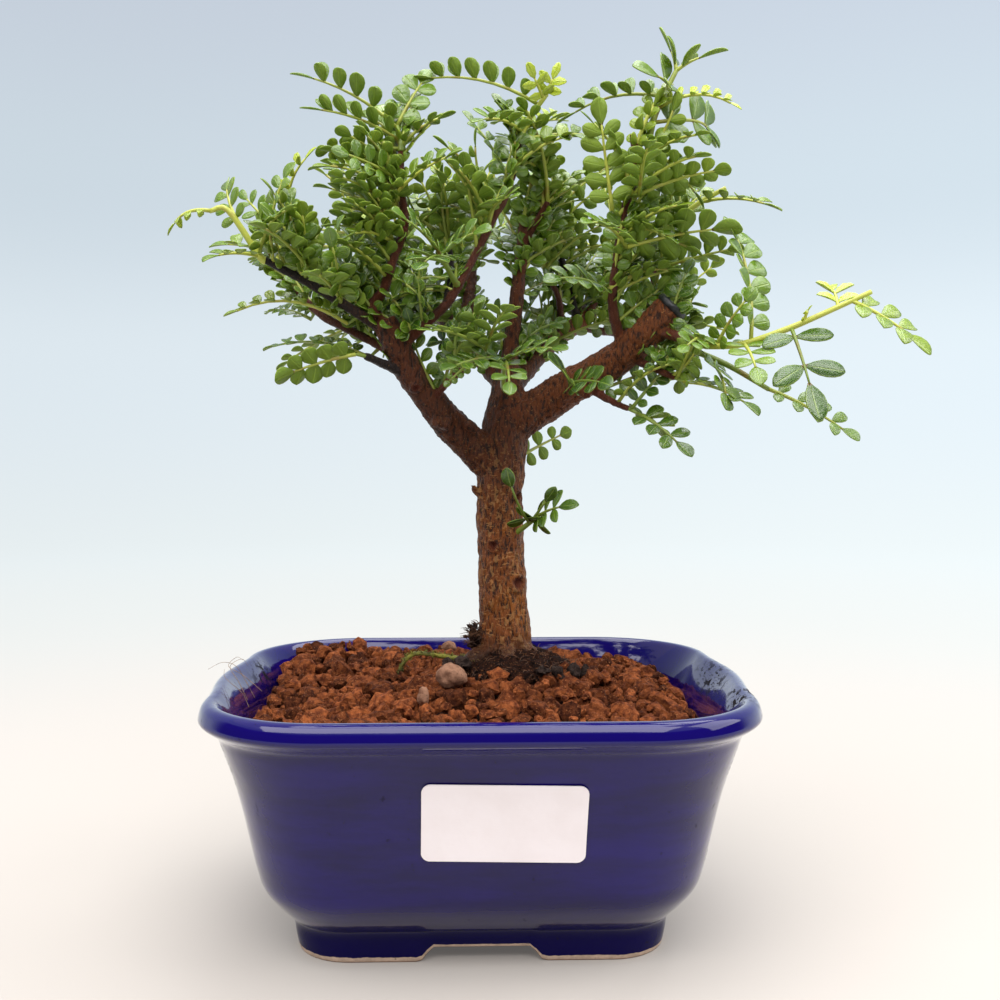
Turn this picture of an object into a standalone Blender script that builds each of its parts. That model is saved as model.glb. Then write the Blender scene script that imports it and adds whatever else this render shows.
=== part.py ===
"""A chinese pepper bonsai in its glazed pot.

Sizes are named in millimetres and become metres where a mesh is made. The pot's centre is the
working origin, with +X to the viewer's right, +Y away from the viewer and +Z up. At the end an
empty moves the whole model, so that the origin lies under the middle of its box.
"""

import math
import random

import bmesh
import bpy
from mathutils import Quaternion, Vector
from mathutils.bvhtree import BVHTree

MM = 0.001
GAP = 0.3  # between pieces that touch
WALL_CLEAR = 0.55  # between the soil and the pot's sloping wall
SEED = 11

# Pot: half width of the rounded rectangle at each height, outside from foot to rim
RIM_HALF_WIDTH = 66.0
RIM_HALF_DEPTH = 57.7
DEPTH_FALL = 1.09  # half depth lost for each millimetre of half width
FOOT_HALF_WIDTH = 43.0
RIM_HEIGHT = 60.0
POT_OUTSIDE = [
    (FOOT_HALF_WIDTH, 0), (44.3, 7), (45.9, 9), (48.7, 12), (51.6, 16), (53.2, 21), (54.8, 28),
    (56.4, 35), (58.0, 41), (59.7, 46), (61.1, 50), (62.8, 52.3), (65.0, 53.8), (RIM_HALF_WIDTH, 55.6),
    (RIM_HALF_WIDTH, 57.2), (65.2, 59.2), (63.6, RIM_HEIGHT),
]
POT_INSIDE = [(61.6, 59.0), (58.2, 53), (55.2, 44), (52.5, 30), (49.5, 20), (45.5, 12), (41.0, 9)]
FOOT_CORNER = 13.0
RIM_CORNER = 30.0
SIDE_BOW = 2.2  # how much further out the rim's left and right sides are in their middle
BOW_STEPS = 4
CORNER_STEPS = 5
FLOOR_TOP = 9.0
RECESS_HALF_WIDTH = 37.0
RECESS_HALF_DEPTH = 26.0
RECESS_CORNER = 8.0
RECESS_HEIGHT = 4.5
NOTCH_HEIGHT = 3.4
NOTCH_TOP = {"front": 21.7, "side": 14.0}
NOTCH_FLARE = 3.5  # each end's slope outwards at the bottom
DRAIN_RADIUS = 4.5
DRAIN_X = 18.0

# Drain screens
SCREEN_SIZE = 13.0
SCREEN_THICK = 0.8
SCREEN_HOLE = 3.4
SCREEN_PITCH = 5.0

# Soil: its skin under the granules, and the mound round the trunk
TRUNK_X, TRUNK_Y = 6.0, 4.0
SOIL_EDGE = 53.0
SOIL_TOP = 72.0  # above the highest granule
MOUND_RISE = 8.5
MOUND_REACH = 38.0
BACK_LEFT_RISE = 3.2
HEAP_HALF_WIDTH = 54.5  # where the heap starts to fall towards the pot's sides
GRANULE_PITCH = 8.7
GRANULE_TOP = (0.5, 2.1)  # above the soil's skin
GRANULE_VALLEY = (-1.7, -0.5)
GRANULE_JITTER = 0.24  # of the spacing of the relief's points
ROOT_BALL_RADIUS = (14.5, 13.0)
ROOT_BALL_X, ROOT_BALL_Y = 8.5, 2.0
ROOT_BALL_SHAPE = [(0.55, 24), (0.9, 34), (1.0, 50), (1.0, 58.0), (0.88, 61.6), (0.68, 64.2)]
ROOT_BALL_ROUGH = 0.7
ROOT_BALL_SIDES = 14
ROOT_BALL_WAVES = [(3, 0.06, 1.0), (5, 0.04, 0.0)]  # waves round it: count, share of the radius, phase
PEBBLE_CENTRE = (-7.0, -16.0, 62.2)
PEBBLE_RADII = (3.6, 3.2, 3.0)

# Label: a blank plate that follows the front wall
LABEL_WIDTH = 35.4
LABEL_HEIGHT = 18.1
LABEL_CORNER = 2.0
LABEL_THICK = 0.6
LABEL_X = 4.6
LABEL_Z = 36.7
LABEL_TILT = math.radians(-1.2)
LABEL_GAP = 0.48  # from the glaze, wide enough for the wall's curve

# Wood: sides of the tube, then the centre line with its radius at each point
LIMBS = {
    "trunk": (10, [(6, 4, 44, 7.0), (6, 4, 66, 6.9), (6.2, 4, 73, 6.3), (5.8, 4, 82, 6.0),
                   (5.2, 4, 93, 5.8), (5.2, 4, 106, 5.9), (5.8, 4, 116, 6.2), (7, 4, 126, 5.3),
                   (7, 6, 137, 3.4)]),
    "left_limb": (8, [(4, 4, 112, 5.0), (-6, 0, 121, 4.2), (-12, -5, 128, 3.8),
                       (-17, -9, 135, 3.5), (-21, -12, 143, 3.4), (-22.5, -12, 147, 3.3)]),
    "right_limb": (8, [(7, 4, 122, 5.2), (18, 2, 129, 4.7), (25, -2, 133, 4.5),
                        (33, -6, 138, 4.1), (40, -10, 144, 4.0), (45.5, -12, 150, 3.9)]),
    "back_left_limb": (6, [(6, 6, 133, 3.0), (-3, 14, 145, 2.6), (-10, 22, 152, 2.4),
                           (-17, 28, 160, 2.1), (-22, 32, 167, 1.7)]),
    "back_right_limb": (6, [(8, 7, 133, 3.2), (15, 16, 141, 2.9), (20, 22, 146, 2.7),
                            (26, 27, 150, 2.5), (31, 31, 155, 2.3)]),
    "middle_limb": (6, [(7, 6, 133, 2.6), (8, 5, 144, 2.0), (9, 4, 152, 1.9),
                        (10, 4, 161, 1.8), (11, 4, 168, 1.7), (11, 4, 174, 1.4)]),
    "inner_twig": (6, [(-3, 14, 145, 2.1), (-3, 18, 154, 1.8), (-2, 21, 161, 1.6), (-2, 22, 167, 1.2)]),
    "middle_fork": (6, [(10.6, 4, 167, 1.2), (14, 2, 173, 0.9), (17, 1, 178, 0.8)]),
    "front_red_twig": (6, [(-19, -12, 141, 1.6), (-12, -14, 147, 1.2), (-7, -14, 152, 1.1),
                           (-2, -13, 161, 1.0), (3, -12, 171, 1.0), (7, -10, 179, 0.9),
                           (10, -8, 192, 0.8)]),
    "black_twig": (6, [(-8, -14, 151, 1.0), (-7, -8, 160, 0.9), (-8, -3, 168, 0.8)]),
    "high_left_twig": (6, [(-22, -12, 144, 2.0), (-25.5, -13, 150, 1.5), (-23, -13, 154, 1.3),
                           (-21, -12, 161, 1.2), (-18, -11, 170, 1.1), (-19, -10, 178, 1.0),
                           (-19, -9, 188, 0.9)]),
    "far_left_twig": (6, [(-20, -11, 143, 1.6), (-30, -15, 149, 1.3), (-35, -17, 152, 1.2),
                          (-42, -19, 156, 1.1), (-50, -20, 160, 0.9)]),
    "left_red_twig": (6, [(-20, -11, 139, 1.3), (-33, -5, 146, 1.1), (-40, -1, 150, 1.0),
                          (-51, 7, 161, 0.8)]),
    "left_stub": (6, [(-18, -10, 134.5, 1.3), (-27, -19, 138, 1.0)]),
    "low_front_twig": (6, [(-12, -5, 128, 1.1), (-7, -15, 133, 0.9), (0, -21, 138, 0.8)]),
    "right_stub": (6, [(42, -11, 145, 1.6), (49, -18, 142, 1.1), (52, -22, 140.5, 0.9)]),
    "right_low_twig": (6, [(36, -7, 139, 1.2), (42, -13, 135.5, 0.9), (46, -18, 133, 0.8)]),
    "right_back_twig": (6, [(35, -6, 139, 1.2), (43, 1, 139, 0.9), (50, 7, 141, 0.8)]),
    "right_under_twig": (6, [(26, -2, 132, 1.2), (32, -8, 128, 0.9), (36, -11, 126, 0.8)]),
    "right_high_twig": (6, [(35, -7, 140, 1.5), (32, -10, 150, 1.2), (32, -12, 157, 1.1),
                            (34, -13, 172, 1.0), (37, -14, 183, 1.0), (36, -14, 191, 0.9)]),
    "right_mid_twig": (6, [(41, -9, 145, 1.3), (43, -2, 157, 1.0), (45, 1, 165, 0.9), (48, 4, 172, 0.8)]),
    "back_black_twig": (6, [(27, 27, 151, 1.2), (24, 24, 161, 1.0), (21, 22, 172, 0.9), (20, 22, 179, 0.8)]),
    "back_inner_twig": (6, [(22, 23, 147.5, 1.2), (21, 17, 156, 0.9), (17, 14, 163, 0.8)]),
    "back_low_left_twig": (6, [(-10, 22, 152, 1.2), (-23, 36, 151, 1.0), (-35, 45, 152, 0.8)]),
    "back_high_left_twig": (6, [(-20, 30.5, 164, 1.3), (-28, 42, 171, 1.0), (-34, 50, 178, 0.8)]),
    "back_middle_twig": (6, [(-2, 21, 163, 1.1), (-1, 33, 172, 0.9), (-3, 43, 179, 0.8)]),
    "back_high_right_twig": (6, [(30, 30, 154, 1.3), (36, 42, 163, 1.0), (38, 50, 171, 0.8)]),
    "back_low_right_twig": (6, [(26, 27, 150, 1.3), (39, 37, 149, 1.0), (51, 43, 151, 0.8)]),
}
KNOTS = [(-1.0, 1.5, 106.5, 2.0), (11.0, 1.5, 85, 1.8), (4.0, -1.8, 95, 1.5), (-11.0, -8.5, 123.5, 2.2)]
PASTE_RADIUS = 3.9
PASTE_THICK = 1.3

# Leaves
LEAF_THICK = 0.6
RIB_HALF_WIDTH = 0.45
PETIOLE_SHARE = 0.14
PETIOLE_FACES = 2
BLADE_SHARE = 0.62
LEAFLET_BASE = 0.42  # leaflet width at the rib over the spacing of the pairs
LEAFLET_REACH = 1.12  # leaflet length over the spacing of the pairs
LEAFLET_FOLD = math.radians(24)
LEAF_ARCH = 0.09
LEAFLET_TOP = 7.4
LEAFLET_END = ((-0.08, 0.20, 0.74), (0.58, 0.40, 1.0))  # its two outer corners, along the rib and out
FACE_UP = Vector((0.0, -0.35, 1.0))
STEM_RADIUS = 0.8
SPUR_LENGTH = 3.0
STEM_TILT_ROOM = 0.1  # further off the bark, for the low side of a stem that leans
STEM_LEAD = 1.5  # a stem's first step, straight out of the wood
STEM_TAPER = 0.35
LONG_STEM = 1.25  # how much thicker a stem with further points is than a spur
STEM_SIDES = 6
SPUR_SIDES = 4
TEST_CLEAR = 0.35  # each side, while leaves are fitted between their neighbours
TRIES = 60
TRY_SHIFT = 0.5  # how much further the tip may move at each try
TRY_SHRINK = 0.004  # and how much of its length the leaf then loses
LEAF_ROLL = 16  # degrees about its own rib, at the first try
CROWN_CENTRE = Vector((5, 4, 148))

# Sprays set by hand: limb and share along it, the stem's further points, and for each leaf its
# share along the stem and its tip
SPRAYS = {
    "top_left_spray": ("high_left_twig", 1.0, [(-20, -8, 194)], [
        (0.9, (-45, -12, 205)), (1.0, (-12, -2, 209)), (0.4, (-42, -18, 195))]),
    "green_stub_left": ("high_left_twig", 0.84, [(-23, -13, 189)], [(0.1, (-34, -25, 184))]),
    "upper_left_spray": ("high_left_twig", 0.7, [], [(1.0, (-39, 6, 187)), (1.0, (-4, -24, 184))]),
    "left_middle_spray": ("high_left_twig", 0.5, [], [(1.0, (-31, -30, 172)), (1.0, (-35, -8, 173))]),
    "far_left_shoot": ("far_left_twig", 1.0, [(-55, -22, 166), (-62, -22, 170)], [
        (1.0, (-71, -23, 164)), (0.55, (-60, -12, 180)), (0.1, (-62, -30, 158))]),
    "left_front_spray": ("far_left_twig", 0.72, [], [(1.0, (-50, -38, 165)), (1.0, (-46, -22, 176))]),
    "left_mid_spray": ("far_left_twig", 0.45, [], [(1.0, (-38, -36, 155))]),
    "left_low_leaf": ("far_left_twig", 0.3, [], [(1.0, (-61, -14, 147))]),
    "left_young_shoot": ("left_red_twig", 1.0, [(-50, 6, 168), (-48, 4, 176)], [
        (1.0, (-40, 1, 191)), (0.3, (-69, 9, 168)), (0.6, (-62, 14, 183))]),
    "left_red_spray": ("left_red_twig", 0.62, [], [(1.0, (-56, 17, 152))]),
    "left_under_leaf": ("left_red_twig", 0.12, [], [(1.0, (-54, 0, 141))]),
    "left_stub_spray": ("left_stub", 1.0, [], [(1.0, (-47, -26, 132))]),
    "low_front_spray": ("low_front_twig", 1.0, [], [(1.0, (6, -42, 147)), (1.0, (-14, -38, 142))]),
    "front_rosette": ("trunk", 0.925, [(5.5, -8, 132), (5.5, -22, 137)], [
        (1.0, (-9, -36, 133)), (1.0, (19, -36, 138)), (1.0, (6, -40, 128))]),
    "front_facing_spray": ("front_red_twig", 0.33, [(-9, -24, 160)], [
        (1.0, (-14, -42, 154)), (1.0, (2, -38, 164)), (0.8, (-20, -36, 168))]),
    "front_mid_spray": ("front_red_twig", 0.6, [], [(1.0, (8, -34, 172)), (1.0, (-8, -30, 181))]),
    "top_centre_shoot": ("front_red_twig", 1.0, [(12.5, -8, 197), (16, -9, 201.5)], [
        (0.75, (-17, -3, 206)), (1.0, (19, -10, 208.5)), (0.1, (-2, -26, 190))]),
    "top_back_spray": ("front_red_twig", 0.88, [], [(1.0, (8, 14, 198))]),
    "top_right_shoot": ("right_high_twig", 0.86, [(41, -13, 194), (44, -12, 201), (47, -11, 207)], [
        (1.0, (44, -8, 217.5)), (1.0, (58, -13, 209)), (0.72, (19, -1, 196)), (0.6, (62, -15, 196)),
        (0.45, (57, 8, 194))]),
    "upright_leaf": ("right_high_twig", 0.62, [], [(1.0, (27, -22, 197))]),
    "right_upper_spray": ("right_high_twig", 0.72, [], [(1.0, (58, -22, 181)), (1.0, (37, -36, 184))]),
    "right_middle_spray": ("right_high_twig", 0.48, [], [(1.0, (60, -25, 167)), (1.0, (22, -36, 166))]),
    "right_lower_spray": ("right_high_twig", 0.3, [], [(1.0, (14, -30, 154))]),
    "green_stub_right": ("right_mid_twig", 1.0, [(55, 1, 178), (61, -2, 181)], [
        (0.6, (72, -14, 173)), (0.3, (60, 16, 186))]),
    "right_outer_shoot": (
        "right_stub", 1.0, [(59, -30, 140), (68, -33, 143), (75, -35, 146), (86, -36, 151)], [
            (0.9, (98, -40, 137)), (0.82, (80, -24, 154)), (0.55, (72, -45, 122)), (0.32, (58, -16, 171)),
            (0.28, (59, -46, 130))]),
    "right_hanging_spray": ("right_stub", 0.45, [(57, -22, 136), (66, -26, 130)], [
        (1.0, (85, -32, 118)), (0.35, (54, -36, 125))]),
    "right_low_spray": ("right_low_twig", 1.0, [], [(1.0, (62, -34, 124))]),
    "right_back_spray": ("right_back_twig", 1.0, [], [(1.0, (72, 6, 142)), (1.0, (54, 22, 131))]),
    "right_front_rosette": ("right_limb", 0.42, [], [
        (1.0, (15, -19, 137)), (1.0, (30, -25, 131))]),
    "under_right_spray": ("right_under_twig", 1.0, [], [(1.0, (49, -22, 114)), (1.0, (47, 2, 119))]),
    "trunk_sprout": ("trunk", 0.55, [(13.5, -4, 99)], [(1.0, (25, -15, 101)), (0.8, (6, -15, 112))]),
    "trunk_back_leaf": ("trunk", 0.76, [], [(1.0, (26, 20, 121))]),
}

# Tufts set by the rule: limb, share along it, number of leaves
TUFTS = [
    ("middle_limb", 0.75, 1), ("middle_fork", 1.0, 2), ("black_twig", 1.0, 2), ("inner_twig", 0.8, 1),
    ("back_left_limb", 1.0, 2), ("back_black_twig", 1.0, 2), ("back_inner_twig", 1.0, 1),
    ("back_low_left_twig", 1.0, 3), ("back_high_left_twig", 1.0, 3), ("back_middle_twig", 1.0, 3),
    ("back_high_right_twig", 1.0, 3), ("back_low_right_twig", 1.0, 3), ("back_low_left_twig", 0.5, 1),
    ("back_low_right_twig", 0.5, 1), ("back_black_twig", 0.55, 1), ("right_mid_twig", 0.6, 1),
]
TUFT_LEAF = (19.0, 26.0)
TUFT_SPREAD = math.radians(48)

COLOURS = {
    "glaze": ((0.010, 0.018, 0.165), 0.12),
    "screen": ((0.03, 0.03, 0.03), 0.6),
    "granules": ((0.235, 0.082, 0.036), 0.9),
    "peat": ((0.030, 0.014, 0.009), 0.95),
    "bark": ((0.105, 0.058, 0.030), 0.75),
    "paste": ((0.012, 0.013, 0.016), 0.45),
    "label": ((0.82, 0.82, 0.80), 0.4),
    "pebble": ((0.36, 0.20, 0.135), 0.8),
    "leaf": ((0.060, 0.205, 0.022), 0.35),
    "young_leaf": ((0.210, 0.390, 0.030), 0.4),
}
YOUNG_SPRAYS = {"far_left_shoot", "left_young_shoot", "top_centre_shoot", "right_outer_shoot"}


def material(name):
    """The Principled material of that finish, made once."""
    found = bpy.data.materials.get(name)
    if found:
        return found
    colour, roughness = COLOURS[name]
    made = bpy.data.materials.new(name)
    made.use_nodes = True
    shader = made.node_tree.nodes["Principled BSDF"]
    shader.inputs["Base Color"].default_value = (*colour, 1)
    shader.inputs["Roughness"].default_value = roughness
    shader.inputs["Metallic"].default_value = 0.0
    made.diffuse_color = (*colour, 1)
    return made


def add_object(name, mesh, collection, finish=None):
    """An object for the mesh, in the collection and with its finish."""
    made = bpy.data.objects.new(name, mesh)
    collection.objects.link(made)
    if finish:
        mesh.materials.clear()
        mesh.materials.append(material(finish))
    return made


def mesh_from(bm, name):
    """Turns a bmesh in millimetres into a mesh in metres, facing outwards."""
    bmesh.ops.recalc_face_normals(bm, faces=bm.faces)
    bmesh.ops.scale(bm, vec=(MM, MM, MM), verts=bm.verts)
    mesh = bpy.data.meshes.new(name)
    bm.to_mesh(mesh)
    bm.free()
    return mesh


def helper_object(name, mesh):
    """A cutter or operand, kept out of the model."""
    made = add_object(name, mesh, helpers)
    made.hide_render = True
    made.display_type = "WIRE"
    return made


def bake_modifiers(target):
    """Applies every modifier of the object."""
    graph = bpy.context.evaluated_depsgraph_get()
    mesh = bpy.data.meshes.new_from_object(target.evaluated_get(graph))
    target.modifiers.clear()
    target.data = mesh


def union_with(target, pieces):
    """Joins loose pieces to the target by one Boolean on a collection, then removes them."""
    group = bpy.data.collections.new(target.name + "_pieces")
    bpy.context.scene.collection.children.link(group)
    for piece in pieces:
        helpers.objects.unlink(piece)
        group.objects.link(piece)
    step = target.modifiers.new("union", "BOOLEAN")
    step.operation = "UNION"
    step.operand_type = "COLLECTION"
    step.collection = group
    step.solver = "EXACT"
    bake_modifiers(target)
    for piece in pieces:
        bpy.data.objects.remove(piece)
    bpy.data.collections.remove(group)


def combine(target, cutter, operation="DIFFERENCE"):
    """Cuts the target by the other object, which is then removed."""
    step = target.modifiers.new("cut", "BOOLEAN")
    step.operation = operation
    step.object = cutter
    bake_modifiers(target)
    bpy.data.objects.remove(cutter)


def drop_scraps(target):
    """Keeps only the largest connected body of the object's mesh."""
    bm = bmesh.new()
    bm.from_mesh(target.data)
    waiting = set(bm.verts)
    bodies = []
    while waiting:
        found, front = set(), [waiting.pop()]
        while front:
            v = front.pop()
            found.add(v)
            near = {e.other_vert(v) for e in v.link_edges} & waiting
            waiting -= near
            front.extend(near)
        bodies.append(found)
    bodies.sort(key=len)
    bmesh.ops.delete(bm, geom=[v for body in bodies[:-1] for v in body], context="VERTS")
    bm.to_mesh(target.data)
    bm.free()


def rounded_ring(half_width, half_depth, corner, height, bow=0.0):
    """Points of a rounded rectangle, from the +X side round to +Y. Its left and right sides bow out."""
    points = []
    straight = half_depth - corner
    for quarter in range(4):
        side_x = 1 if quarter in (0, 3) else -1
        side_y = 1 if quarter in (0, 1) else -1
        centre = Vector((side_x * (half_width - bow - corner), side_y * straight, height))
        for step in range(CORNER_STEPS + 1):
            angle = math.pi / 2 * (quarter + step / CORNER_STEPS)
            points.append(centre + corner * Vector((math.cos(angle), math.sin(angle), 0)))
        if quarter in (1, 3):
            for step in range(1, BOW_STEPS):
                share = 2 * step / BOW_STEPS - 1
                out = half_width - bow + bow * math.cos(math.pi / 2 * share) ** 2
                points.append(Vector((side_x * out, -side_y * share * straight, height)))
    return points


def loft(rings):
    """A closed bmesh through rings of equally many points, with a flat cap at each end."""
    bm = bmesh.new()
    rows = [[bm.verts.new(p) for p in ring] for ring in rings]
    for low, high in zip(rows, rows[1:]):
        for i in range(len(low)):
            j = (i + 1) % len(low)
            bm.faces.new((low[i], low[j], high[j], high[i]))
    bm.faces.new(list(reversed(rows[0])))
    bm.faces.new(rows[-1])
    return bm


def pot_half_depth(half_width):
    """Half the pot's depth where it is that wide."""
    return RIM_HALF_DEPTH - DEPTH_FALL * (RIM_HALF_WIDTH - half_width)


def pot_ring(half_width, height, inset=0.0):
    """The pot's rounded rectangle where it is that wide, drawn in by the inset."""
    share = max(0.0, (half_width - FOOT_HALF_WIDTH) / (RIM_HALF_WIDTH - FOOT_HALF_WIDTH))
    corner = FOOT_CORNER + (RIM_CORNER - FOOT_CORNER) * share
    return rounded_ring(half_width - inset, pot_half_depth(half_width) - inset, corner - inset, height,
                        SIDE_BOW * share)


def inner_half_width(height):
    """Half the width of the pot's inside at a height, straight between the profile's points."""
    for (wide, high), (narrow, low) in zip(POT_INSIDE, POT_INSIDE[1:]):
        if low <= height <= high:
            return narrow + (wide - narrow) * (height - low) / (high - low)
    return POT_INSIDE[0][0]


def box_cutter(name, size, centre, flare=(0.0, 0.0)):
    """A box whose bottom edges stand further out by the flare."""
    bm = bmesh.new()
    bmesh.ops.create_cube(bm, size=1.0)
    bmesh.ops.scale(bm, vec=size, verts=bm.verts)
    for v in bm.verts:
        if v.co.z < 0:
            v.co.x += math.copysign(flare[0], v.co.x)
            v.co.y += math.copysign(flare[1], v.co.y)
    bmesh.ops.translate(bm, vec=centre, verts=bm.verts)
    return helper_object(name, mesh_from(bm, name))


def cylinder_cutter(name, radius, low, high, x, y=0.0, sides=16):
    """An upright cylinder between two heights."""
    bm = bmesh.new()
    bmesh.ops.create_cone(bm, cap_ends=True, segments=sides, radius1=radius, radius2=radius, depth=high - low)
    bmesh.ops.translate(bm, vec=(x, y, (low + high) / 2), verts=bm.verts)
    return helper_object(name, mesh_from(bm, name))


def make_pot():
    """The glazed pot: a lofted wall and floor, with a recess, four notches and two drain holes."""
    rings = [pot_ring(w, z) for w, z in POT_OUTSIDE + POT_INSIDE]
    pot = add_object("pot", mesh_from(loft(rings), "pot"), parts, "glaze")
    recess = loft([rounded_ring(RECESS_HALF_WIDTH, RECESS_HALF_DEPTH, RECESS_CORNER, z)
                   for z in (-1.0, RECESS_HEIGHT)])
    combine(pot, helper_object("recess", mesh_from(recess, "recess")))
    across = 2 * RIM_HALF_WIDTH
    height = NOTCH_HEIGHT + 1.0
    middle = (0, 0, NOTCH_HEIGHT - height / 2)
    combine(pot, box_cutter("front_notch", (NOTCH_TOP["front"], across, height), middle, (NOTCH_FLARE, 0)))
    combine(pot, box_cutter("side_notch", (across, NOTCH_TOP["side"], height), middle, (0, NOTCH_FLARE)))
    for x in (-DRAIN_X, DRAIN_X):
        combine(pot, cylinder_cutter("drain", DRAIN_RADIUS, RECESS_HEIGHT - 1, FLOOR_TOP + 1, x))


def make_screen(name, x):
    """A square of drain mesh that lies on the pot's floor over a drain hole."""
    bm = bmesh.new()
    bmesh.ops.create_cube(bm, size=1.0)
    bmesh.ops.scale(bm, vec=(SCREEN_SIZE, SCREEN_SIZE, SCREEN_THICK), verts=bm.verts)
    level = FLOOR_TOP + GAP + SCREEN_THICK / 2
    bmesh.ops.translate(bm, vec=(x, 0, level), verts=bm.verts)
    screen = add_object(name, mesh_from(bm, name), parts, "screen")
    for dx in (-SCREEN_PITCH / 2, SCREEN_PITCH / 2):
        for dy in (-SCREEN_PITCH / 2, SCREEN_PITCH / 2):
            size = (SCREEN_HOLE, SCREEN_HOLE, 3 * SCREEN_THICK)
            combine(screen, box_cutter("mesh_hole", size, (x + dx, dy, level)))


def soil_height(x, y):
    """Height of the soil's skin: a mound round the trunk, a rise towards the back left, and a fall at
    the left and right walls."""
    reach = ((x - TRUNK_X) ** 2 + (y - TRUNK_Y) ** 2) / MOUND_REACH ** 2
    back_left = max(0.0, -x / RIM_HALF_WIDTH) * max(0.0, y / RIM_HALF_DEPTH)
    fall = max(0.0, abs(x) - HEAP_HALF_WIDTH)
    return SOIL_EDGE + MOUND_RISE * math.exp(-reach) + 4 * BACK_LEFT_RISE * back_left - fall


def icosphere(radii, centre, subdivisions=1):
    """A stretched icosphere in its place."""
    bm = bmesh.new()
    bmesh.ops.create_icosphere(bm, subdivisions=subdivisions, radius=1.0)
    bmesh.ops.scale(bm, vec=radii, verts=bm.verts)
    bmesh.ops.translate(bm, vec=centre, verts=bm.verts)
    return bm


def granule_relief():
    """A block whose top is all granules: every third point of a triangular lattice is a stone's top,
    and the points between them are valleys."""
    draw = random.Random(SEED)
    step = GRANULE_PITCH / math.sqrt(3)
    rise = step * math.sqrt(3) / 2
    columns = 2 * int(RIM_HALF_WIDTH / step) + 1
    rows = 2 * int(RIM_HALF_DEPTH / rise) + 1
    bm = bmesh.new()
    lattice = []
    for j in range(rows):
        row = []
        for i in range(columns):
            x = (i - columns // 2 + 0.5 * (j % 2) + draw.uniform(-GRANULE_JITTER, GRANULE_JITTER)) * step
            y = (j - rows // 2) * rise + draw.uniform(-GRANULE_JITTER, GRANULE_JITTER) * step
            is_top = (i - j // 2 - j) % 3 == 0
            z = soil_height(x, y) + draw.uniform(*(GRANULE_TOP if is_top else GRANULE_VALLEY))
            row.append(bm.verts.new((x, y, z)))
        lattice.append(row)
    for j in range(rows - 1):
        low, high = lattice[j], lattice[j + 1]
        for i in range(columns - 1):
            if j % 2:
                corners = (low[i], low[i + 1], high[i + 1]), (low[i], high[i + 1], high[i])
            else:
                corners = (low[i], low[i + 1], high[i]), (low[i + 1], high[i + 1], high[i])
            for three in corners:
                bm.faces.new(three)
    rim = [e for e in bm.edges if e.is_boundary]
    skirt = bmesh.ops.extrude_edge_only(bm, edges=rim)["geom"]
    for v in skirt:
        if isinstance(v, bmesh.types.BMVert):
            v.co.z = 0
    bmesh.ops.holes_fill(bm, edges=[e for e in bm.edges if e.is_boundary])
    return bm


def make_soil():
    """The soil: a body that fills the pot, with a top of granules."""
    floor = FLOOR_TOP + SCREEN_THICK + 2 * GAP
    heights = [floor] + [z for _, z in reversed(POT_INSIDE) if z > floor] + [SOIL_TOP]
    rings = [pot_ring(inner_half_width(z), z, WALL_CLEAR) for z in heights]
    soil = add_object("soil", mesh_from(loft(rings), "soil"), parts, "granules")
    relief = helper_object("relief", mesh_from(granule_relief(), "relief"))
    combine(soil, relief, "INTERSECT")
    combine(soil, helper_object("ball_room", mesh_from(root_ball_bmesh(GAP), "ball_room")))
    room = [r + GAP for r in PEBBLE_RADII]
    combine(soil, helper_object("pebble_room", mesh_from(icosphere(room, PEBBLE_CENTRE, 2), "pebble_room")))
    drop_scraps(soil)


def root_ball_bmesh(grow=0.0):
    """The plug of dark peat round the roots, larger by grow."""
    rings = []
    for k, (scale, z) in enumerate(ROOT_BALL_SHAPE):
        ring = []
        rough = ROOT_BALL_ROUGH if k >= len(ROOT_BALL_SHAPE) - 2 else 0.0
        for step in range(ROOT_BALL_SIDES):
            angle = 2 * math.pi * step / ROOT_BALL_SIDES
            wave = 1 + sum(share * math.sin(count * angle + phase) for count, share, phase in ROOT_BALL_WAVES)
            x = ROOT_BALL_X + (ROOT_BALL_RADIUS[0] * scale * wave + grow) * math.cos(angle)
            y = ROOT_BALL_Y + (ROOT_BALL_RADIUS[1] * scale * wave + grow) * math.sin(angle)
            ring.append(Vector((x, y, z + rough * math.sin(4 * angle + 2 * k))))
        rings.append(ring)
    if grow:
        rings[0] = [p - Vector((0, 0, grow)) for p in rings[0]]
        rings[-2:] = [[Vector((p.x, p.y, SOIL_TOP + 1)) for p in rings[-3]]]
    return loft(rings)


def make_root_ball():
    """The peat mound, with a plain hole for the foot of the trunk."""
    ball = add_object("root_ball", mesh_from(root_ball_bmesh(), "root_ball"), parts, "peat")
    sides, line = LIMBS["trunk"]
    points = [Vector(p[:3]) for p in line]
    points[0].z -= GAP
    room = tube_object("trunk_room", points, [p[3] + GAP for p in line], sides)
    combine(ball, room)


def tube_object(name, points, radii, sides):
    """A round tube along a line of points, made from a curve and welded at its caps."""
    curve = bpy.data.curves.new(name, "CURVE")
    curve.dimensions = "3D"
    curve.bevel_depth = MM
    curve.bevel_resolution = sides // 2 - 2
    curve.use_fill_caps = True
    line = curve.splines.new("POLY")
    line.points.add(len(points) - 1)
    for spot, point, radius in zip(line.points, points, radii):
        spot.co = (*(point * MM), 1)
        spot.radius = radius
    drawn = helper_object(name + "_curve", curve)
    bpy.context.view_layer.update()
    graph = bpy.context.evaluated_depsgraph_get()
    mesh = bpy.data.meshes.new_from_object(drawn.evaluated_get(graph))
    bm = bmesh.new()
    bm.from_mesh(mesh)
    bmesh.ops.remove_doubles(bm, verts=bm.verts, dist=0.00001)
    bmesh.ops.recalc_face_normals(bm, faces=bm.faces)
    bm.to_mesh(mesh)
    bm.free()
    made = helper_object(name, mesh)
    made.matrix_world = drawn.matrix_world
    bpy.data.objects.remove(drawn)
    return made


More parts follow.
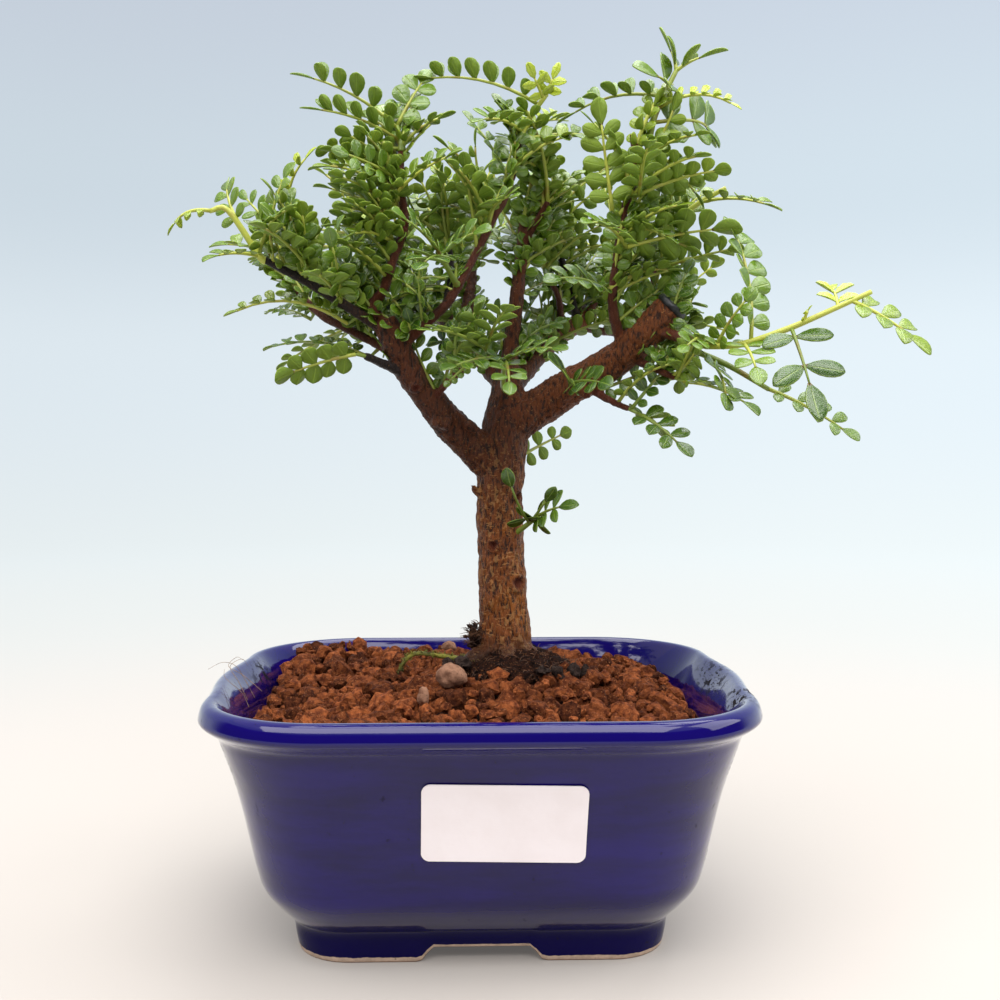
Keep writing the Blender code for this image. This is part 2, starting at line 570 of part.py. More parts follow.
def make_wood():
    """Trunk, limbs and twigs, grown as one piece: tubes and knots joined in one solid."""
    pieces = []
    for name, (sides, line) in LIMBS.items():
        pieces.append(tube_object(name, [Vector(p[:3]) for p in line], [p[3] for p in line], sides))
    for x, y, z, radius in KNOTS:
        pieces.append(helper_object("knot", mesh_from(icosphere((radius,) * 3, (x, y, z)), "knot")))
    base = pieces.pop(0)
    helpers.objects.unlink(base)
    wood = add_object("trunk_and_branches", base.data, parts, "bark")
    bpy.data.objects.remove(base)
    union_with(wood, pieces)
    wood.data.materials.clear()
    wood.data.materials.append(material("bark"))


def make_paste():
    """The cap of wound paste on the right limb's cut end."""
    line = LIMBS["right_limb"][1]
    end, before = Vector(line[-1][:3]), Vector(line[-2][:3])
    along = (end - before).normalized()
    bm = bmesh.new()
    bmesh.ops.create_cone(bm, cap_ends=True, segments=12, radius1=PASTE_RADIUS, radius2=PASTE_RADIUS,
                          depth=PASTE_THICK)
    bmesh.ops.bevel(bm, geom=[e for e in bm.edges if e.verts[0].co.z > 0 and e.verts[1].co.z > 0],
                    offset=0.4 * PASTE_THICK, segments=1, profile=0.5, affect="EDGES")
    bmesh.ops.rotate(bm, matrix=along.to_track_quat("Z", "Y").to_matrix(), verts=bm.verts)
    bmesh.ops.translate(bm, vec=end + along * (GAP + PASTE_THICK / 2), verts=bm.verts)
    add_object("wound_paste", mesh_from(bm, "wound_paste"), parts, "paste")


def outer_half_depth(height):
    """Half the depth of the pot's outside at a height."""
    for (low_w, low_z), (high_w, high_z) in zip(POT_OUTSIDE, POT_OUTSIDE[1:]):
        if low_z <= height <= high_z:
            width = low_w + (high_w - low_w) * (height - low_z) / (high_z - low_z)
            return pot_half_depth(width)
    return RIM_HALF_DEPTH


def make_label():
    """The blank label: a rounded plate bent over the front wall's profile."""
    bm = bmesh.new()
    half_w, half_h = LABEL_WIDTH / 2 - LABEL_CORNER, LABEL_HEIGHT / 2 - LABEL_CORNER
    rim = []
    for quarter in range(4):
        centre_x = half_w if quarter in (0, 3) else -half_w
        centre_y = half_h if quarter in (0, 1) else -half_h
        for step in range(4):
            angle = math.pi / 2 * (quarter + step / 3)
            rim.append(bm.verts.new((centre_x + LABEL_CORNER * math.cos(angle),
                                     centre_y + LABEL_CORNER * math.sin(angle), 0)))
    bm.faces.new(rim)
    levels = [z - LABEL_Z for _, z in POT_OUTSIDE if abs(z - LABEL_Z) < LABEL_HEIGHT / 2]
    for level in levels:
        everything = bm.verts[:] + bm.edges[:] + bm.faces[:]
        bmesh.ops.bisect_plane(bm, geom=everything, plane_co=(0, level, 0), plane_no=(0, 1, 0), dist=0.0001)
    for v in bm.verts:
        x = LABEL_X + v.co.x * math.cos(LABEL_TILT) - v.co.y * math.sin(LABEL_TILT)
        z = LABEL_Z + v.co.y * math.cos(LABEL_TILT) + v.co.x * math.sin(LABEL_TILT)
        v.co = (x, -outer_half_depth(z) - LABEL_GAP - LABEL_THICK / 2, z)
    bmesh.ops.scale(bm, vec=(MM, MM, MM), verts=bm.verts)
    mesh = bpy.data.meshes.new("label")
    bm.to_mesh(mesh)
    bm.free()
    label = add_object("label", mesh, parts, "label")
    thick = label.modifiers.new("thickness", "SOLIDIFY")
    thick.thickness = LABEL_THICK * MM
    thick.offset = 0.0


def make_pebble():
    """The large pebble that lies on the granules in front of the trunk."""
    bm = icosphere(PEBBLE_RADII, PEBBLE_CENTRE, 2)
    add_object("pebble", mesh_from(bm, "pebble"), parts, "pebble")


def along_line(points, share):
    """The place at a share of a line's length, its direction there and the segment's index."""
    lengths = [(b - a).length for a, b in zip(points, points[1:])]
    left = share * sum(lengths)
    for i, length in enumerate(lengths):
        if left <= length or i == len(lengths) - 1:
            step = points[i + 1] - points[i]
            return points[i] + step * min(1.0, left / length), step.normalized(), i
        left -= length


def limb_place(name, share):
    """The centre, direction and radius of a limb at a share of its length."""
    line = LIMBS[name][1]
    points = [Vector(p[:3]) for p in line]
    centre, direction, i = along_line(points, share)
    reach = (points[i + 1] - points[i]).length
    part = (centre - points[i]).length / reach
    return centre, direction, line[i][3] + (line[i + 1][3] - line[i][3]) * part


def tube_tree(points, radii, sides=8):
    """A search tree of a tube's surface, for finding what crosses it."""
    verts, faces = [], []
    for k, (point, radius) in enumerate(zip(points, radii)):
        ahead = (points[min(k + 1, len(points) - 1)] - points[max(k - 1, 0)]).normalized()
        across = (ahead.orthogonal() if k == 0 else across - ahead * across.dot(ahead)).normalized()
        up = ahead.cross(across)
        for s in range(sides):
            angle = 2 * math.pi * s / sides
            verts.append(point + radius * (math.cos(angle) * across + math.sin(angle) * up))
    for k in range(len(points) - 1):
        for s in range(sides):
            t = (s + 1) % sides
            faces.append((k * sides + s, k * sides + t, (k + 1) * sides + t, (k + 1) * sides + s))
    faces.append(tuple(range(sides)))
    faces.append(tuple(range((len(points) - 1) * sides, len(points) * sides)))
    return BVHTree.FromPolygons(verts, faces)


def pair_count(length):
    """How many pairs of leaflets a leaf of that length has in these solids."""
    return 2 if length < 25 else 3 if length < 34 else 4


def leaf_sheet(base, tip, roll):
    """Points and triangles of one compound leaf as an open sheet: a petiole, pairs of leaflets
    cut to the rib of one arched blade, and a leaflet at the end. The petiole's faces come first."""
    length = (tip - base).length
    heading = (tip - base) / length
    face = FACE_UP - heading * FACE_UP.dot(heading)
    face.normalize()
    face.rotate(Quaternion(heading, roll))
    across = heading.cross(face)
    pairs = pair_count(length)
    spacing = length * BLADE_SHARE / pairs
    reach = min(spacing * LEAFLET_REACH, LEAFLET_TOP)
    points, faces = [], []

    def add(u, v, lift=0.0):
        along = u / length
        arch = LEAF_ARCH * length * 4 * along * (1 - along)
        points.append(base + heading * u + across * v + face * (arch + lift))
        return len(points) - 1

    start = length * PETIOLE_SHARE
    foot = [add(0, -RIB_HALF_WIDTH), add(0, RIB_HALF_WIDTH)]
    row = [add(start, -RIB_HALF_WIDTH), add(start, RIB_HALF_WIDTH)]
    faces += [(foot[0], row[0], row[1]), (foot[0], row[1], foot[1])]
    for k in range(pairs):
        u = start + k * spacing
        size = reach * (0.82 + 0.18 * math.sin(math.pi * (k + 0.8) / (pairs + 0.6)))
        for stretch in (LEAFLET_BASE * spacing, spacing):
            ahead = [add(start + k * spacing + stretch, side * RIB_HALF_WIDTH) for side in (-1, 1)]
            faces += [(row[0], ahead[0], ahead[1]), (row[0], ahead[1], row[1])]
            if stretch < spacing:
                for i, sign in enumerate((-1, 1)):
                    outline = []
                    for of_spacing, of_size, out in LEAFLET_END:
                        away = size * out
                        outline.append(add(u + of_spacing * spacing + of_size * size,
                                           sign * (RIB_HALF_WIDTH + away * math.cos(LEAFLET_FOLD)),
                                           away * math.sin(LEAFLET_FOLD)))
                    near, far = outline
                    triangles = [(row[i], near, far), (row[i], far, ahead[i])]
                    faces += [t if sign < 0 else t[::-1] for t in triangles]
            row = ahead
    u = start + pairs * spacing
    end = length - u
    right, left = add(u + 0.5 * end, -0.40 * end), add(u + 0.5 * end, 0.40 * end)
    point = add(length, 0)
    faces += [(row[0], right, point), (row[0], point, row[1]), (row[1], point, left)]
    return points, faces


def thick_sheet(points, faces, thickness):
    """A closed bmesh of that thickness around an open sheet."""
    bm = bmesh.new()
    verts = [bm.verts.new(p) for p in points]
    for corners in faces:
        bm.faces.new([verts[i] for i in corners])
    loose = [v for v in bm.verts if not v.link_faces]
    bmesh.ops.delete(bm, geom=loose, context="VERTS")
    bm.normal_update()
    for v in bm.verts:
        v.co -= v.normal * (thickness / 2)
    bmesh.ops.solidify(bm, geom=bm.faces[:], thickness=-thickness)
    return bm


def sheet_tree(points, faces, thickness):
    """A search tree around a sheet of that thickness."""
    bm = thick_sheet(points, faces, thickness)
    tree = BVHTree.FromBMesh(bm)
    bm.free()
    return tree


def stem_line(limb, share, path, tips):
    """The points of a spray's stem, from just off the bark."""
    centre, along, radius = limb_place(limb, share)
    aim = Vector(path[0]) if path else sum((Vector(t) for t in tips), Vector()) / len(tips)
    if share == 1.0:
        start = centre + along * GAP
        toward = along
    else:
        out = aim - centre
        out = (out - along * out.dot(along)).normalized()
        start = centre + out * (radius + GAP + STEM_TILT_ROOM)
        toward = (out * 1.4 + (aim - start).normalized() * 0.6).normalized()
    if path:
        return [start, start + toward * STEM_LEAD] + [Vector(p) for p in path]
    return [start, start + toward * SPUR_LENGTH]


def tuft_tips(limb, share, count, draw):
    """Leaf tips spread round the way out of the crown, from a place on a limb."""
    centre, along, _ = limb_place(limb, share)
    outward = (centre - CROWN_CENTRE).normalized()
    axis = (outward + 0.5 * along + Vector((0, 0, 0.25))).normalized()
    across = axis.orthogonal().normalized()
    first = draw.uniform(0, 2 * math.pi)
    tips = []
    for k in range(count):
        direction = across.copy()
        direction.rotate(Quaternion(axis, first + 2 * math.pi * k / count))
        direction = axis * math.cos(TUFT_SPREAD) + direction * math.sin(TUFT_SPREAD)
        tips.append(tuple(centre + direction * (SPUR_LENGTH + draw.uniform(*TUFT_LEAF))))
    return tips


def fitted_leaf(base, tip, draw, obstacles, own):
    """The leaf nearest the wanted one that crosses nothing, or None."""
    for attempt in range(TRIES):
        reach = TRY_SHIFT * attempt
        shift = Vector([draw.uniform(-reach, reach) for _ in range(3)])
        lean = LEAF_ROLL + attempt
        roll = math.radians(draw.uniform(-lean, lean))
        length = (Vector(tip) - base).length * (1 - TRY_SHRINK * attempt)
        wanted = (Vector(tip) + shift - base).normalized() * length
        points, faces = leaf_sheet(base, base + wanted, roll)
        blade = sheet_tree(points, faces[PETIOLE_FACES:], LEAF_THICK + 2 * TEST_CLEAR)
        if any(blade.overlap(tree) for tree in obstacles + own):
            continue
        whole = sheet_tree(points, faces, LEAF_THICK + TEST_CLEAR)
        if any(whole.overlap(tree) for tree in obstacles):
            continue
        return points, faces, blade, whole
    return None


def make_spray(name, limb, share, path, leaves, draw, obstacles):
    """One leafy stem: its tube and its leaves, fused. Leaves that find no room are left out."""
    tips = [tip for _, tip in leaves]
    line = stem_line(limb, share, path, tips)
    thick = STEM_RADIUS * (LONG_STEM if path else 1.0)
    radii = [thick * (1 - STEM_TAPER * k / (len(line) - 1)) for k in range(len(line))]
    stem = tube_object(name + "_stem", line, radii, STEM_SIDES if path else SPUR_SIDES)
    own, blades = [], []
    for place, tip in leaves:
        base, _, _ = along_line(line, place * 0.985)
        found = fitted_leaf(base, tip, draw, obstacles, own)
        if not found:
            print("no room for a leaf of", name)
            continue
        points, faces, blade, whole = found
        own.append(blade)
        blades.append((points, faces, whole))
    helpers.objects.unlink(stem)
    finish = "young_leaf" if name in YOUNG_SPRAYS else "leaf"
    spray = add_object(name, stem.data, parts, finish)
    bpy.data.objects.remove(stem)
    pieces = [helper_object("blade", mesh_from(thick_sheet(points, faces, LEAF_THICK), "blade"))
              for points, faces, _ in blades]
    union_with(spray, pieces)
    spray.data.materials.clear()
    spray.data.materials.append(material(finish))
    obstacles.append(tube_tree(line, [r + TEST_CLEAR for r in radii]))
    obstacles.extend(whole for _, _, whole in blades)


def make_foliage():
    """Every spray set by hand, then the tufts of the rule, each clear of all before it."""
    draw = random.Random(SEED)
    obstacles = []
    for _, line in LIMBS.values():
        obstacles.append(tube_tree([Vector(p[:3]) for p in line], [p[3] + TEST_CLEAR / 2 for p in line]))
    for name, (limb, share, path, leaves) in SPRAYS.items():
        make_spray(name, limb, share, path, leaves, draw, obstacles)
    for number, (limb, share, count) in enumerate(TUFTS, 1):
        tips = tuft_tips(limb, share, count, draw)
        leaves = [(1.0, tip) for tip in tips]
        make_spray(f"tuft_{number:02d}", limb, share, [], leaves, draw, obstacles)


def centre_model():
    """Moves everything by one empty, so that the origin lies under the middle of the model's box."""
    bpy.context.view_layer.update()
    corners = [o.matrix_world @ Vector(c) for o in parts.objects for c in o.bound_box]
    low = Vector([min(c[i] for c in corners) for i in range(3)])
    high = Vector([max(c[i] for c in corners) for i in range(3)])
    root = bpy.data.objects.new("bonsai", None)
    parts.objects.link(root)
    for piece in parts.objects:
        if piece is not root:
            piece.parent = root
    root.location = (-(low.x + high.x) / 2, -(low.y + high.y) / 2, -low.z)


for old in list(bpy.data.objects):
    bpy.data.objects.remove(old)
parts = bpy.data.collections.new("chinese_pepper_bonsai")
helpers = bpy.data.collections.new("helpers")
bpy.context.scene.collection.children.link(parts)
bpy.context.scene.collection.children.link(helpers)

make_pot()
make_screen("drain_screen_left", -DRAIN_X)
make_screen("drain_screen_right", DRAIN_X)
make_soil()
make_root_ball()
make_wood()
make_paste()
make_label()
make_pebble()
make_foliage()
centre_model()
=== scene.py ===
"""Looks of the chinese pepper bonsai in its blue glazed pot.

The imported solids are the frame, and finer pieces stand in for every one of them. Lengths are in
millimetres in the pot's own frame: its origin is under the middle of the pot, with +X to the
viewer's right, +Y away from the viewer and +Z up. A piece becomes metres, in the row's frame,
where it is finished.
"""

import logging
import math
import random
from dataclasses import dataclass
from enum import Enum
from typing import Callable, Iterable, Sequence

import bmesh
import bpy
from mathutils import Matrix, Quaternion, Vector, noise


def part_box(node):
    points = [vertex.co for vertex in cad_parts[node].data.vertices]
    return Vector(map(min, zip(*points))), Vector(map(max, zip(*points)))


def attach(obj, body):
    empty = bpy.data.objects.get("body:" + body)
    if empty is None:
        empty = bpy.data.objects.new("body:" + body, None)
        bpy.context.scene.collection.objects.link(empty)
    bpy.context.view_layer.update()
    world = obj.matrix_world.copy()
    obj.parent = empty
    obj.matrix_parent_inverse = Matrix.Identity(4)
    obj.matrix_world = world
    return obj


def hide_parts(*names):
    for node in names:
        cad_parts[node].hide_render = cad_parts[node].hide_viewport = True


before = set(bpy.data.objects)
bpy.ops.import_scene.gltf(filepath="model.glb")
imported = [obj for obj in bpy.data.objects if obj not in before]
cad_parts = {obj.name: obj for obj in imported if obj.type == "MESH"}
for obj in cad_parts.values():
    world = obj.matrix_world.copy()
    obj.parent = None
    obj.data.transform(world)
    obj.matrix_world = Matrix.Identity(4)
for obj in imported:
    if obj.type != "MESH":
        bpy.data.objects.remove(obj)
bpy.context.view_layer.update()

LOG = logging.getLogger("bonsai")
MM = 0.001
POT_LOW, POT_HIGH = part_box("pot")
SHIFT = Vector(((POT_LOW.x + POT_HIGH.x) / 2, (POT_LOW.y + POT_HIGH.y) / 2, POT_LOW.z))  # metres
RIM_HEIGHT = (POT_HIGH.z - POT_LOW.z) / MM
RIM_HALF_WIDTH = 66.0
RIM_HALF_DEPTH = 57.7

Colour = tuple[float, float, float]
Point = tuple[float, float, float]
Knot = tuple[float, float, float, float]
Socket = bpy.types.NodeSocket
Shape = bmesh.types.BMesh


# Shader nodes


class Tree:
    """Short calls that add nodes to a material or to a node group."""

    def __init__(self, tree: bpy.types.NodeTree) -> None:
        """Keeps the node tree.

        Args:
            tree: The tree that the calls add to.
        """
        self.tree = tree

    def add(self, kind: str, inputs: dict | None = None, **settings: object) -> bpy.types.Node:
        """Adds a node.

        Args:
            kind: The node's type.
            inputs: A value or a socket for each input, by name or index.
            **settings: The node's own properties.

        Returns:
            The new node.
        """
        node = self.tree.nodes.new(kind)
        for name, value in settings.items():
            setattr(node, name, value)
        self.fill(node, inputs or {})
        return node

    def fill(self, node: bpy.types.Node, inputs: dict) -> None:
        """Sets or links some of a node's inputs."""
        for key, value in inputs.items():
            if isinstance(value, Socket):
                self.tree.links.new(value, node.inputs[key])
            else:
                node.inputs[key].default_value = value

    def feed(self, **inputs: object) -> None:
        """Sets or links inputs of the material's shader, with underscores for the spaces in their names."""
        self.fill(self.tree.nodes["Principled BSDF"], {n.replace("_", " "): v for n, v in inputs.items()})

    def pot_millimetres(self) -> Socket:
        """The place on the piece, in millimetres in the pot's own frame."""
        place = self.add("ShaderNodeTexCoord").outputs["Object"]
        return self.add("ShaderNodeMapping", {
            "Vector": place, "Location": -SHIFT / MM, "Scale": (1 / MM,) * 3}).outputs[0]

    def stretched(self, place: Socket, scale: Point, shift: Point = (0, 0, 0)) -> Socket:
        """The place with its axes scaled and moved."""
        return self.add("ShaderNodeMapping", {"Vector": place, "Location": shift, "Scale": scale}).outputs[0]

    def part(self, place: Socket, axis: str) -> Socket:
        """One coordinate, X, Y or Z, of a place."""
        return self.add("ShaderNodeSeparateXYZ", {0: place}).outputs[axis]

    def noise(self, place: Socket, scale: float, detail: float = 3.0,
              roughness: float = 0.55) -> Socket:
        """A noise of about 0.3 to 0.7 over the place."""
        return self.add("ShaderNodeTexNoise", {
            "Vector": place, "Scale": scale, "Detail": detail, "Roughness": roughness}).outputs[0]

    def ease(self, value: Socket, low: float, high: float, start: float = 0.0,
             end: float = 1.0) -> Socket:
        """A value smoothly turned from low..high into start..end, and held outside it."""
        return self.add("ShaderNodeMapRange", {0: value, 1: low, 2: high, 3: start, 4: end},
                        interpolation_type="SMOOTHSTEP").outputs[0]

    def sum(self, operation: str, first: object, second: object = 0.0) -> Socket:
        """The result of a Math node on two values or sockets."""
        return self.add("ShaderNodeMath", {0: first, 1: second}, operation=operation).outputs[0]

    def times(self, first: object, second: object) -> Socket:
        """The product of two values or sockets."""
        return self.sum("MULTIPLY", first, second)

    def mix(self, share: object, first: object, second: object, blend: str = "MIX") -> Socket:
        """A colour between two colours or sockets."""
        first, second = (c if isinstance(c, Socket) else (*c, 1) for c in (first, second))
        return self.add("ShaderNodeMix", {0: share, 6: first, 7: second}, data_type="RGBA",
                        blend_type=blend).outputs[2]

    def attribute(self, name: str) -> Socket:
        """The value of a mesh attribute."""
        return self.add("ShaderNodeAttribute", attribute_name=name).outputs["Fac"]

    def bump(self, height: Socket, depth: float, strength: float = 1.0,
             normal: Socket | None = None) -> Socket:
        """A normal bent by a height, whose whole range is that deep in millimetres."""
        inputs = {"Height": height, "Distance": depth * MM, "Strength": strength}
        if normal:
            inputs["Normal"] = normal
        return self.add("ShaderNodeBump", inputs).outputs[0]

    def effect(self, group: bpy.types.NodeTree, **inputs: object) -> Socket:
        """What a node group puts out for these values."""
        return self.add("ShaderNodeGroup", inputs, node_tree=group).outputs[0]


def shared_group(name: str, inputs: dict[str, str], output: tuple[str, str],
                 fill: Callable[[Tree, dict], Socket]) -> bpy.types.NodeTree:
    """A node group, built the first time that it is asked for.

    Args:
        name: The group's name.
        inputs: The kind of each input.
        output: The name and the kind of its output.
        fill: Makes its nodes from its inputs, and gives the socket that it puts out.

    Returns:
        The group.
    """
    group = bpy.data.node_groups.get(name)
    if group is None:
        group = bpy.data.node_groups.new(name, "ShaderNodeTree")
        for socket, kind in inputs.items():
            group.interface.new_socket(socket, in_out="INPUT", socket_type="NodeSocket" + kind)
        group.interface.new_socket(output[0], in_out="OUTPUT", socket_type="NodeSocket" + output[1])
        given = group.nodes.new("NodeGroupInput").outputs
        result = group.nodes.new("NodeGroupOutput")
        group.links.new(fill(Tree(group), given), result.inputs[output[0]])
    return group


class Effects:
    """Node groups that several finishes share, each built once."""

    @staticmethod
    def speckles() -> bpy.types.NodeTree:
        """Small irregular spots: Vector, Scale and Share in, Mask out."""
        def fill(tree: Tree, given: dict) -> Socket:
            """Cuts off a noise at a level that follows from the share."""
            edge = tree.sum("SUBTRACT", 0.80, tree.times(given["Share"], 0.6))
            spots = tree.noise(given["Vector"], given["Scale"], 2.0, 0.5)
            return tree.ease(spots, edge, tree.sum("ADD", edge, 0.05))
        return shared_group("speckles", {"Vector": "Vector", "Scale": "Float", "Share": "Float"},
                            ("Mask", "Float"), fill)

    @staticmethod
    def strings() -> bpy.types.NodeTree:
        """Thin winding lines: Vector, Scale and Width in, Mask out."""
        def fill(tree: Tree, given: dict) -> Socket:
            """Keeps what is near a noise's middle value."""
            waves = tree.noise(given["Vector"], given["Scale"], 3.0, 0.6)
            off = tree.sum("ABSOLUTE", tree.sum("SUBTRACT", waves, 0.5))
            return tree.add("ShaderNodeMapRange",
                            {0: off, 1: 0.0, 2: given["Width"], 3: 1.0, 4: 0.0}).outputs[0]
        return shared_group("strings", {"Vector": "Vector", "Scale": "Float", "Width": "Float"},
                            ("Mask", "Float"), fill)

    @staticmethod
    def crumb() -> bpy.types.NodeTree:
        """The pitted relief of baked clay, peat and stone: Vector and Scale in, Height out."""
        def fill(tree: Tree, given: dict) -> Socket:
            """Adds round pits to a rough noise."""
            cells = {"Vector": given["Vector"], "Scale": tree.times(given["Scale"], 2.2)}
            holes = tree.add("ShaderNodeTexVoronoi", cells).outputs["Distance"]
            return tree.sum("ADD", tree.noise(given["Vector"], given["Scale"], 5.0, 0.68),
                            tree.times(tree.ease(holes, 0.0, 0.35), 0.35))
        return shared_group("crumb", {"Vector": "Vector", "Scale": "Float"}, ("Height", "Float"), fill)

    @staticmethod
    def mottle() -> bpy.types.NodeTree:
        """Two colours in soft patches: Vector, Scale, Dark and Light in, Color out."""
        def fill(tree: Tree, given: dict) -> Socket:
            """Mixes the colours by a noise."""
            patches = tree.noise(given["Vector"], given["Scale"], 4.0, 0.6)
            return tree.mix(tree.ease(patches, 0.36, 0.64), given["Dark"], given["Light"])
        return shared_group("mottle", {"Vector": "Vector", "Scale": "Float", "Dark": "Color",
                                       "Light": "Color"},
                            ("Color", "Color"), fill)


# Finishes


@dataclass(frozen=True)
class Finish:
    """A surface finish, which becomes one material."""

    name: str

    def material(self) -> bpy.types.Material:
        """The finish's material, built the first time that it is asked for."""
        found = bpy.data.materials.get(self.name)
        if found:
            return found
        made = bpy.data.materials.new(self.name)
        made.use_nodes = True
        self.dress(Tree(made.node_tree))
        return made

    def dress(self, tree: Tree) -> None:
        """Adds the finish's nodes.

        Args:
            tree: Adds nodes to the material.
        """
        raise NotImplementedError

    @staticmethod
    def mottled(tree: Tree, place: Socket, scale: float, dark: Colour, light: Colour) -> Socket:
        """Two colours in soft patches over a place."""
        return tree.effect(Effects.mottle(), Vector=place, Scale=scale, Dark=(*dark, 1), Light=(*light, 1))


@dataclass(frozen=True)
class Smear:
    """A patch of dirt on the glaze: where it is and how far it reaches."""

    centre: Point
    reach: Point


@dataclass(frozen=True)
class GlazeFinish(Finish):
    """Deep blue gloss glaze that stops above the foot's bare clay, with dirt in a few places."""

    name: str = "blue_glaze"
    deep: Colour = (0.0034, 0.0010, 0.056)
    bright: Colour = (0.0070, 0.0018, 0.110)
    bead: Colour = (0.0048, 0.0018, 0.092)
    foot: Colour = (0.0016, 0.0006, 0.044)
    clay: Colour = (0.62, 0.46, 0.35)
    burnt: Colour = (0.20, 0.085, 0.045)
    dirt: Colour = (0.010, 0.008, 0.009)
    clay_line: float = 0.95
    smears: tuple[Smear, ...] = (
        Smear((62, 6, 55), (7, 26, 8)), Smear((61, -26, 58), (7, 15, 6)), Smear((-60, 20, 55), (6, 14, 6)),
        Smear((-60, -32, 43), (7, 12, 14)), Smear((60, -32, 42), (7, 12, 14)),
        Smear((54, -24, 24), (6, 14, 10)),
    )

    def dress(self, tree: Tree) -> None:
        """Adds the glaze, the clay line, the dirt and the glaze's soft waves.

        Args:
            tree: Adds nodes to the material.
        """
        place = tree.pot_millimetres()
        height = tree.part(place, "Z")
        streaks = tree.noise(tree.stretched(place, (0.020, 0.020, 0.11)), 1.0, 5.0, 0.6)
        blue = tree.mix(tree.ease(streaks, 0.34, 0.68), self.deep, self.bright)
        blue = tree.mix(tree.ease(height, RIM_HEIGHT - 8.5, RIM_HEIGHT - 5.0), blue, self.bead)
        blue = tree.mix(tree.ease(height, 6.5, 15.0, 0.85, 0.0), blue, self.foot)
        zone = tree.sum("ADD", 0.0)
        for smear in self.smears:
            away = tree.add("ShaderNodeVectorMath", {
                0: tree.stretched(place, tuple(1 / r for r in smear.reach),
                                  tuple(-c / r for c, r in zip(smear.centre, smear.reach)))},
                operation="LENGTH").outputs["Value"]
            zone = tree.sum("MAXIMUM", zone, tree.ease(away, 0.35, 1.0, 1.0, 0.0))
        strings = tree.effect(Effects.strings(), Vector=tree.stretched(place, (0.30, 0.13, 0.42)),
                              Scale=1.0, Width=0.018)
        blots = tree.effect(Effects.speckles(), Vector=tree.stretched(place, (0.6, 0.35, 0.6)), Scale=1.0,
                            Share=0.42)
        specks = tree.effect(Effects.speckles(), Vector=place, Scale=0.5, Share=0.16)
        dirty = tree.times(zone, tree.sum("MAXIMUM", strings, blots))
        dirty = tree.sum("MAXIMUM", dirty, tree.times(specks, 0.45))
        rise = tree.attribute("rise")
        level = tree.sum("ADD", rise, tree.times(tree.noise(place, 0.35, 2.0), -0.8))
        bare = tree.ease(level, self.clay_line - 0.12, self.clay_line + 0.08, 1.0, 0.0)
        clay = self.mottled(tree, place, 0.5, tuple(0.78 * c for c in self.clay), self.clay)
        clay = tree.mix(tree.ease(rise, 0.10, 0.42), self.burnt, clay)
        colour = tree.mix(dirty, tree.mix(bare, blue, clay), self.dirt)
        relief = tree.bump(tree.noise(place, 0.09, 2.0), 0.34)
        relief = tree.bump(tree.noise(place, 0.6, 3.0), 0.040, 1.0, relief)
        rough = tree.sum("MAXIMUM", tree.ease(streaks, 0.3, 0.7, 0.045, 0.11), tree.times(bare, 0.85))
        rough = tree.sum("MAXIMUM", rough, tree.times(dirty, 0.6))
        gloss = tree.times(tree.ease(height, 5.0, 11.0, 0.15, 0.9), tree.sum("SUBTRACT", 1.0, dirty))
        tree.feed(Base_Color=colour, Roughness=rough, Normal=relief, Coat_Weight=gloss)
        tree.feed(Specular_IOR_Level=0.05, Coat_IOR=1.46, Coat_Roughness=0.05)


@dataclass(frozen=True)
class CrumbFinish(Finish):
    """Baked clay, peat or stone: mottled, matt and pitted, with a tint for each lump."""

    name: str = "clay_granules"
    dark: Colour = (0.085, 0.022, 0.009)
    light: Colour = (0.250, 0.074, 0.024)
    pale: Colour = (0.46, 0.18, 0.068)
    flecks: float = 0.30
    scale: float = 1.15
    depth: float = 0.80
    roughness: float = 0.92

    def dress(self, tree: Tree) -> None:
        """Adds the mottled colour, the lumps' tints, pale flecks, painted shade in the pits and the pitted
        relief.

        Args:
            tree: Adds nodes to the material.
        """
        place = tree.pot_millimetres()
        body = self.mottled(tree, place, self.scale * 0.6, self.dark, self.light)
        tint = tree.attribute("tint")
        warm = tree.mix(tint, (0.40, 0.37, 0.37), (1.50, 1.46, 1.35))
        body = tree.mix(1.0, body, warm, "MULTIPLY")
        grit = tree.effect(Effects.speckles(), Vector=place, Scale=2.1, Share=self.flecks)
        body = tree.mix(tree.times(grit, 0.5), body, self.pale)
        height = tree.effect(Effects.crumb(), Vector=place, Scale=self.scale)
        pits = tree.effect(Effects.crumb(), Vector=place, Scale=self.scale * 2.1)
        # The pits are darkened in colour: painted shade in the hollows of the relief.
        body = tree.mix(tree.ease(pits, 0.40, 0.56, 0.55, 0.0), body, tuple(0.4 * c for c in self.dark))
        height = tree.sum("ADD", height, tree.times(pits, 0.5))
        tree.feed(Base_Color=body, Roughness=self.roughness, Normal=tree.bump(height, self.depth))
        tree.feed(Specular_IOR_Level=0.12)


